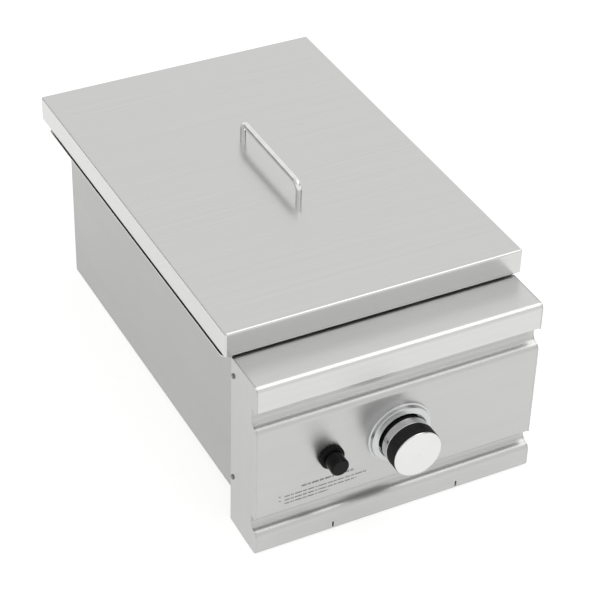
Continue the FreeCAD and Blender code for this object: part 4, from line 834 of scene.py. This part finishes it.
@dataclass
class CoilSpring:
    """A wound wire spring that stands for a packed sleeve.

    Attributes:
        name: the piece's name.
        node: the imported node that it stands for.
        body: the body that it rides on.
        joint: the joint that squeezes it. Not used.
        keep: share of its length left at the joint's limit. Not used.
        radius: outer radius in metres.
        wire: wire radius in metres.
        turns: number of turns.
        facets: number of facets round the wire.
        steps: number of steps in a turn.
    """

    name: str
    node: str
    body: str
    joint: str
    keep: float
    radius: float
    wire: float
    turns: int
    facets: int = 10
    steps: int = 20

    def build(self) -> bpy.types.Object:
        """Winds the wire with a Screw modifier and sets it where the sleeve is.

        Returns:
            The finished spring.
        """
        low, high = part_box(self.node)
        centre = (low + high) / 2
        length = high.y - low.y
        wire = start("circle", self.name, vertices=self.facets, radius=self.wire, fill_type="NGON",
                     rotation=(QUARTER_TURN, 0, 0), location=(self.radius - self.wire, 0, 0))
        settle(wire)
        add_modifier(wire, "SCREW", axis="Z", angle=math.tau * self.turns, steps=self.steps,
                     render_steps=self.steps, screw_offset=length - 2 * self.wire, use_merge_vertices=False)
        wire.matrix_world = (
            Matrix.Translation((centre.x, high.y - self.wire, centre.z))
            @ Matrix.Rotation(QUARTER_TURN, 4, "X"))
        settle(wire)
        only(wire)
        bpy.ops.object.mode_set(mode="EDIT")
        close_up()
        piece = finished(wire, GRATE_ROD, self.body, 60.0)
        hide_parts(self.node)
        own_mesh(piece)
        return piece


@dataclass
class GasTrain(Subassembly):
    """The valve, its jet, the pipe to the back and the fitting there."""

    finishes: dict[str, Finish] = field(default_factory=lambda: {
        "valve_body": VALVE_CASTING, "valve_cover": BRASS, "valve_core": BRASS, "valve_stem": ZINC,
        "stem_spring": GRATE_ROD, "valve_screws": ZINC, "orifice_jet": BRASS, "gas_pipe": PIPE_METAL,
        "pipe_nut": BRASS, "pipe_clips": ZINC, "inlet_fitting": BRASS, "inlet_locknut": BRASS})
    spring: CoilSpring = field(default_factory=lambda: CoilSpring(
        "stem_spring_coil", "stem_spring", "valve_core", "knob_push", keep=0.62, radius=0.0029,
        wire=0.00035, turns=7))

    def pieces(self) -> Iterator[bpy.types.Object]:
        """Winds the stem's return spring."""
        yield self.spring.build()


@dataclass
class Burner(Subassembly):
    """The burner, its mixing tube, cap, bracket and spark electrode."""

    finishes: dict[str, Finish] = field(default_factory=lambda: {
        "burner_head": BURNER_CASTING, "burner_cap": CAP_ENAMEL, "burner_bracket": ZINC,
        "burner_screws": ZINC, "venturi_tube": ZINC, "air_shutter": ZINC, "shutter_screw": ZINC,
        "electrode_insulator": CERAMIC, "electrode_rod": GRATE_ROD, "electrode_nut": ZINC})


@dataclass
class Grate(Subassembly):
    """The welded wire grate."""

    finishes: dict[str, Finish] = field(default_factory=lambda: {"cooking_grate": GRATE_ROD})


@dataclass
class Knob(Subassembly):
    """The valve knob and its bezel. The ring, which laps over the skirt, and the grip are modelled again.

    Heights are counted from the face of the control panel, and all sizes are in millimetres.

    Attributes:
        ring_back: height of the ring's rear edge.
        ring_front: height of the ring's front edge, where the grip starts.
        grip_front: height of the grip's front edge.
        core: radius of the body inside the ring and the grip.
        skirt: radius of the body's skirt, which the ring laps over.
        skirt_front: height of the skirt's front.
        ring_edge: chamfer of the ring.
        grip_edge: chamfer of the grip.
        screw_hole: radius of the hole that the set screw is reached through.
        knurl_rows: rows of studs on the grip.
        knurl_columns: studs in a row.
        knurl_height: height of a stud.
        ring_facets: facets round the ring.
        drill_facets: facets round the screw's hole.
    """

    finishes: dict[str, Finish] = field(default_factory=lambda: {
        "knob_bezel": CHROME, "knob_body": BODY_PLASTIC, "knob_ring": RING_METAL,
        "knob_set_screw": BODY_PLASTIC, "knob_grip": RUBBER, "knob_cap": CAP_METAL})
    ring_back: float = 12.2
    ring_front: float = 20.5
    grip_front: float = 35.0
    core: float = 21.05
    skirt: float = 23.6
    skirt_front: float = 16.55
    ring_edge: float = 0.3
    grip_edge: float = 0.7
    screw_hole: float = 1.2
    knurl_rows: int = 7
    knurl_columns: int = 72
    knurl_height: float = 0.9
    ring_facets: int = 144
    drill_facets: int = 32

    def on_axis(self, piece: bpy.types.Object) -> None:
        """Turns a piece towards the cook and sets it on the knob's axis."""
        piece.matrix_world = (
            Matrix.Translation((0, PANEL_FACE, KNOB_HEIGHT)) @ Matrix.Rotation(QUARTER_TURN, 4, "X"))
        settle(piece)

    def radius_of(self, node: str) -> float:
        """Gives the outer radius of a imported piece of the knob, in millimetres."""
        low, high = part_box(node)
        return (high.x - low.x) / 2 / MM

    def screw_drill(self, reach: float) -> bpy.types.Object:
        """Makes the drill for the set screw's hole.

        Args:
            reach: radius of the ring in millimetres, which the drill's middle lies on.

        Returns:
            The drill, as long as it reaches.
        """
        low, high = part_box("knob_set_screw")
        centre = (low + high) / 2
        outward = Vector((centre.x, 0, centre.z - KNOB_HEIGHT)).normalized()
        return start("cylinder", "screw_drill", vertices=self.drill_facets, radius=self.screw_hole * MM,
                     depth=reach * MM, location=Vector((0, centre.y, KNOB_HEIGHT)) + outward * reach * MM,
                     rotation=outward.to_track_quat("Z", "Y").to_euler())

    def ring(self) -> bpy.types.Object:
        """Models the satin ring, with the hole that the set screw is reached through."""
        radius, edge = self.radius_of("knob_ring"), self.ring_edge
        ring = turned("knob_ring_band", [
            (self.skirt, self.ring_back), (radius - edge, self.ring_back), (radius, self.ring_back + edge),
            (radius, self.ring_front - edge), (radius - edge, self.ring_front), (self.core, self.ring_front),
            (self.core, self.skirt_front), (self.skirt, self.skirt_front)], self.ring_facets)
        self.on_axis(ring)
        drill = self.screw_drill(radius)
        add_modifier(ring, "BOOLEAN", operation="DIFFERENCE", object=drill)
        bpy.data.objects.remove(drill)
        piece = finished(ring, RING_METAL, "knob")
        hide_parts("knob_ring")
        return piece

    def grip(self) -> bpy.types.Object:
        """Models the rubber sleeve, with a moulded grip of small studs."""
        tip, edge = self.radius_of("knob_grip"), self.grip_edge
        root = tip - self.knurl_height
        first, last = self.ring_front + edge, self.grip_front - edge
        heights = (first + (last - first) * row / self.knurl_rows for row in range(self.knurl_rows + 1))
        sleeve = turned("knob_grip_sleeve", [
            (self.core, self.ring_front), (root - edge, self.ring_front), *((root, high) for high in heights),
            (root - edge, self.grip_front), (self.core, self.grip_front)], self.knurl_columns)
        choose_faces(sleeve, lambda centre, normal: self.on_rim(centre, normal, root - edge))
        bpy.ops.mesh.poke(offset=self.knurl_height * MM)
        leave_edit()
        self.on_axis(sleeve)
        piece = finished(sleeve, RUBBER, "knob", 20.0)
        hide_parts("knob_grip")
        return piece

    def on_rim(self, centre: Vector, normal: Vector, inside: float) -> bool:
        """Tells whether a face looks sideways and lies further out than this many millimetres."""
        return abs(normal.z) < 0.1 and centre.xy.length > inside * MM

    def pieces(self) -> Iterator[bpy.types.Object]:
        """Models the ring and the grip."""
        yield self.ring()
        yield self.grip()


@dataclass
class Igniter(Subassembly):
    """The push-button igniter and its cell."""

    finishes: dict[str, Finish] = field(default_factory=lambda: {
        "igniter_nut": BODY_PLASTIC, "igniter_housing": BODY_PLASTIC, "igniter_button": BUTTON_PLASTIC,
        "igniter_battery": CELL_FILM, "igniter_spring": GRATE_ROD, "igniter_terminals": BRASS})
    spring: CoilSpring = field(default_factory=lambda: CoilSpring(
        "igniter_spring_coil", "igniter_spring", "housing", "igniter_push", keep=0.69, radius=0.0051,
        wire=0.0005, turns=6))

    def pieces(self) -> Iterator[bpy.types.Object]:
        """Winds the contact spring behind the cell."""
        yield self.spring.build()


@dataclass(frozen=True)
class Softbox:
    """A square area lamp that points at the unit.

    Attributes:
        name: the lamp's name.
        place: where it hangs.
        side: length of its sides.
        power: its power in watts.
    """

    name: str
    place: tuple[float, float, float]
    side: float
    power: float

    def build(self, aim: Vector) -> None:
        """Makes the lamp.

        Args:
            aim: the point that it shines at.
        """
        light = bpy.data.lights.new(self.name, "AREA")
        light.shape = "SQUARE"
        light.size = self.side
        light.energy = self.power
        lamp = bpy.data.objects.new(self.name, light)
        bpy.context.scene.collection.objects.link(lamp)
        lamp.location = self.place
        lamp.rotation_euler = (aim - Vector(self.place)).to_track_quat("-Z", "Y").to_euler()


@dataclass(frozen=True)
class Flag:
    """A dark board in the studio. It is seen only in reflections, and gives bright metal its dark lines.

    Attributes:
        toward: direction of its middle, seen from the unit.
        inner: cosine of the angle out to which it is darkest.
        outer: cosine of the angle at which it ends.
        level: share of the sky's brightness at its middle.
    """

    toward: tuple[float, float, float]
    inner: float
    outer: float
    level: float

    def shade(self, tree: bpy.types.NodeTree, where: bpy.types.NodeSocket) -> bpy.types.NodeSocket:
        """Gives the share of the sky's brightness that it leaves in each direction.

        Args:
            tree: the world's nodes.
            where: the socket with the direction.

        Returns:
            The socket with the share.
        """
        near = add_node(tree, "VectorMath", {0: where, 1: self.toward}, operation="DOT_PRODUCT")
        inputs = {"Value": near.outputs["Value"], "From Min": self.outer, "From Max": self.inner,
                  "To Min": 1.0, "To Max": self.level}
        return add_node(tree, "MapRange", inputs, interpolation_type="SMOOTHSTEP").outputs[0]


@dataclass
class Studio:
    """The pale floor, the soft light and the camera.

    The unit leans back as it stands: on the foot of its front, and on the lower rear edge of its box. The
    floor is tilted to meet both, and the unit stays in its own frame.

    Attributes:
        foot: depth and height of the front's foot.
        heel: depth and height of the box's lower rear edge.
        floor_side: length of the floor's sides.
        floor_gap: how far the floor lies below the foot.
        fibre: fibres of the paper in a metre.
        fibre_depth: height of the fibres.
        fibre_strength: share of that height that shows.
        paper: the paper's colour as it lights the unit.
        paper_seen: its colour to the eye, before the lift that makes the lit paper white.
        lift: strength of that lift.
        flags: the dark boards.
        softboxes: the lamps.
        aim: the point that the lamps shine at.
        sky_light: strength of the sky as it lights the unit.
        sky_low: its strength in reflections, at the horizon.
        sky_high: its strength in reflections, overhead.
        camera_place: where the photograph was taken from.
        camera_right: direction of the picture's right side.
        camera_up: direction of the picture's upper side.
        lens: focal length in millimetres.
        sensor: width of the camera's sensor in millimetres.
        sight: nearest and furthest distance that the camera sees.
    """

    foot: tuple[float, float] = (-0.20675, 0.0)
    heel: tuple[float, float] = (0.22925, 0.021)
    floor_side: float = 14.0
    floor_gap: float = 0.0001
    fibre: float = 900.0
    fibre_depth: float = 0.0002
    fibre_strength: float = 0.05
    paper: str = "#F2F2F1"
    paper_seen: str = "#BCBCBB"
    lift: float = 0.72
    flags: tuple[Flag, ...] = (
        Flag((-0.668, 0.741, 0.07), 0.99, 0.95, 0.1), Flag((-0.779, 0.284, 0.559), 0.94, 0.86, 0.05),
        Flag((0.745, -0.363, 0.559), 0.975, 0.935, 0.05))
    softboxes: tuple[Softbox, ...] = (
        Softbox("softbox_key", (0.85, -0.45, 2.1), 1.6, 10.5),
        Softbox("softbox_fill", (-1.9, 0.7, 1.7), 2.0, 8.0))
    aim: tuple[float, float, float] = (0.0, 0.0, 0.1)
    sky_light: float = 0.62
    sky_low: float = 0.97
    sky_high: float = 0.9
    camera_place: tuple[float, float, float] = (-0.757606, -1.451254, 1.309123)
    camera_right: tuple[float, float, float] = (0.8910521, -0.4532459, 0.0243782)
    camera_up: tuple[float, float, float] = (0.2532191, 0.5409501, 0.8020306)
    lens: float = 122.84
    sensor: float = 36.0
    sight: tuple[float, float] = (0.05, 60.0)

    def build(self) -> None:
        """Sets the floor, lamps, world and camera."""
        self.build_floor()
        for softbox in self.softboxes:
            softbox.build(Vector(self.aim))
        self.build_world()
        self.build_camera()
        bpy.context.scene.view_settings.view_transform = "Standard"

    def build_floor(self) -> None:
        """Lays the floor under the foot and the heel."""
        slope = math.atan2(self.heel[1] - self.foot[1], self.heel[0] - self.foot[0])
        floor = start("plane", "floor", size=self.floor_side, rotation=(slope, 0, 0),
                      location=(0, self.foot[0], -self.floor_gap))
        floor.data.materials.append(self.paper_material())

    def paper_material(self) -> bpy.types.Material:
        """Makes the floor's paper: white to the eye, where nothing shades it, and pale as light.

        Returns:
            The material.
        """
        made = bpy.data.materials.new("paper_backdrop")
        made.use_nodes = True
        tree = made.node_tree
        tree.nodes.clear()
        where = add_node(tree, "TexCoord").outputs["Object"]
        fibre = add_node(tree, "TexNoise", {"Vector": where, "Scale": self.fibre, "Detail": 2.0})
        bump = add_node(tree, "Bump", {
            "Height": fibre.outputs[0], "Strength": self.fibre_strength, "Distance": self.fibre_depth})
        paper, shaded = (
            add_node(tree, "BsdfDiffuse", {"Color": linear(colour), "Normal": bump.outputs[0]})
            for colour in (self.paper, self.paper_seen))
        lift = add_node(tree, "Emission", {"Color": WHITE, "Strength": self.lift})
        lifted = add_node(tree, "AddShader", {0: shaded.outputs[0], 1: lift.outputs[0]})
        surface = add_node(tree, "MixShader", {0: self.seen_by_eye(tree), 1: paper.outputs[0],
                                               2: lifted.outputs[0]})
        add_node(tree, "OutputMaterial", {"Surface": surface.outputs[0]})
        return made

    def seen_by_eye(self, tree: bpy.types.NodeTree) -> bpy.types.NodeSocket:
        """Tells the camera's rays, also by way of metal or glass, from the light on a matt surface.

        Args:
            tree: the material's nodes.

        Returns:
            The socket that is 1 for the camera's rays and 0 for the rest.
        """
        path = add_node(tree, "LightPath")
        seen = path.outputs["Is Camera Ray"]
        for kind in ("Is Glossy Ray", "Is Transmission Ray"):
            seen = add_node(tree, "Math", {0: seen, 1: path.outputs[kind]}, operation="MAXIMUM").outputs[0]
        return seen

    def sky(self, tree: bpy.types.NodeTree, strength: float | bpy.types.NodeSocket) -> bpy.types.NodeSocket:
        """Gives a white sky of this strength."""
        return add_node(tree, "Background", {"Color": WHITE, "Strength": strength}).outputs[0]

    def build_world(self) -> None:
        """Sets a plain sky: white to the eye, softer as light, and darker at the flags in reflections."""
        world = bpy.data.worlds.new("studio")
        bpy.context.scene.world = world
        world.use_nodes = True
        tree = world.node_tree
        tree.nodes.clear()
        where = add_node(tree, "TexCoord").outputs["Generated"]
        up = add_node(tree, "SeparateXYZ", {0: where}).outputs[2]
        mirrored = add_node(tree, "MapRange", {
            "Value": up, "From Min": 0.0, "From Max": 1.0, "To Min": self.sky_low, "To Max": self.sky_high,
        }).outputs[0]
        for flag in self.flags:
            shade = flag.shade(tree, where)
            mirrored = add_node(tree, "Math", {0: mirrored, 1: shade}, operation="MULTIPLY").outputs[0]
        path = add_node(tree, "LightPath").outputs
        surface = self.sky(tree, self.sky_light)
        for kind, strength in (("Is Glossy Ray", mirrored), ("Is Camera Ray", 1.0)):
            layers = {0: path[kind], 1: surface, 2: self.sky(tree, strength)}
            surface = add_node(tree, "MixShader", layers).outputs[0]
        add_node(tree, "OutputWorld", {"Surface": surface})

    def build_camera(self) -> None:
        """Sets the camera where the photograph was taken from."""
        lens = bpy.data.cameras.new("photo_camera")
        lens.lens = self.lens
        lens.sensor_width = self.sensor
        lens.clip_start, lens.clip_end = self.sight
        camera = bpy.data.objects.new("photo_camera", lens)
        bpy.context.scene.collection.objects.link(camera)
        right, up = Vector(self.camera_right), Vector(self.camera_up)
        turn = Matrix((right, up, right.cross(up))).transposed()
        camera.matrix_world = Matrix.Translation(self.camera_place) @ turn.to_4x4()
        bpy.context.scene.camera = camera


def main() -> None:
    """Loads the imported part, dresses it, adds the small pieces and sets the studio."""
    logging.basicConfig(level=logging.INFO, format="%(name)s: %(message)s")
    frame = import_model()
    for part in (Lid(), HotBox(), FrontBox(), GasTrain(), Burner(), Grate(), Knob(), Igniter()):
        part.dress(frame["nodes"])
        count = sum(1 for _ in part.pieces())
        LOG.info("%s: %d nodes dressed, %d pieces made", type(part).__name__, len(part.finishes), count)
    Studio().build()


if __name__ == "__main__":
    main()
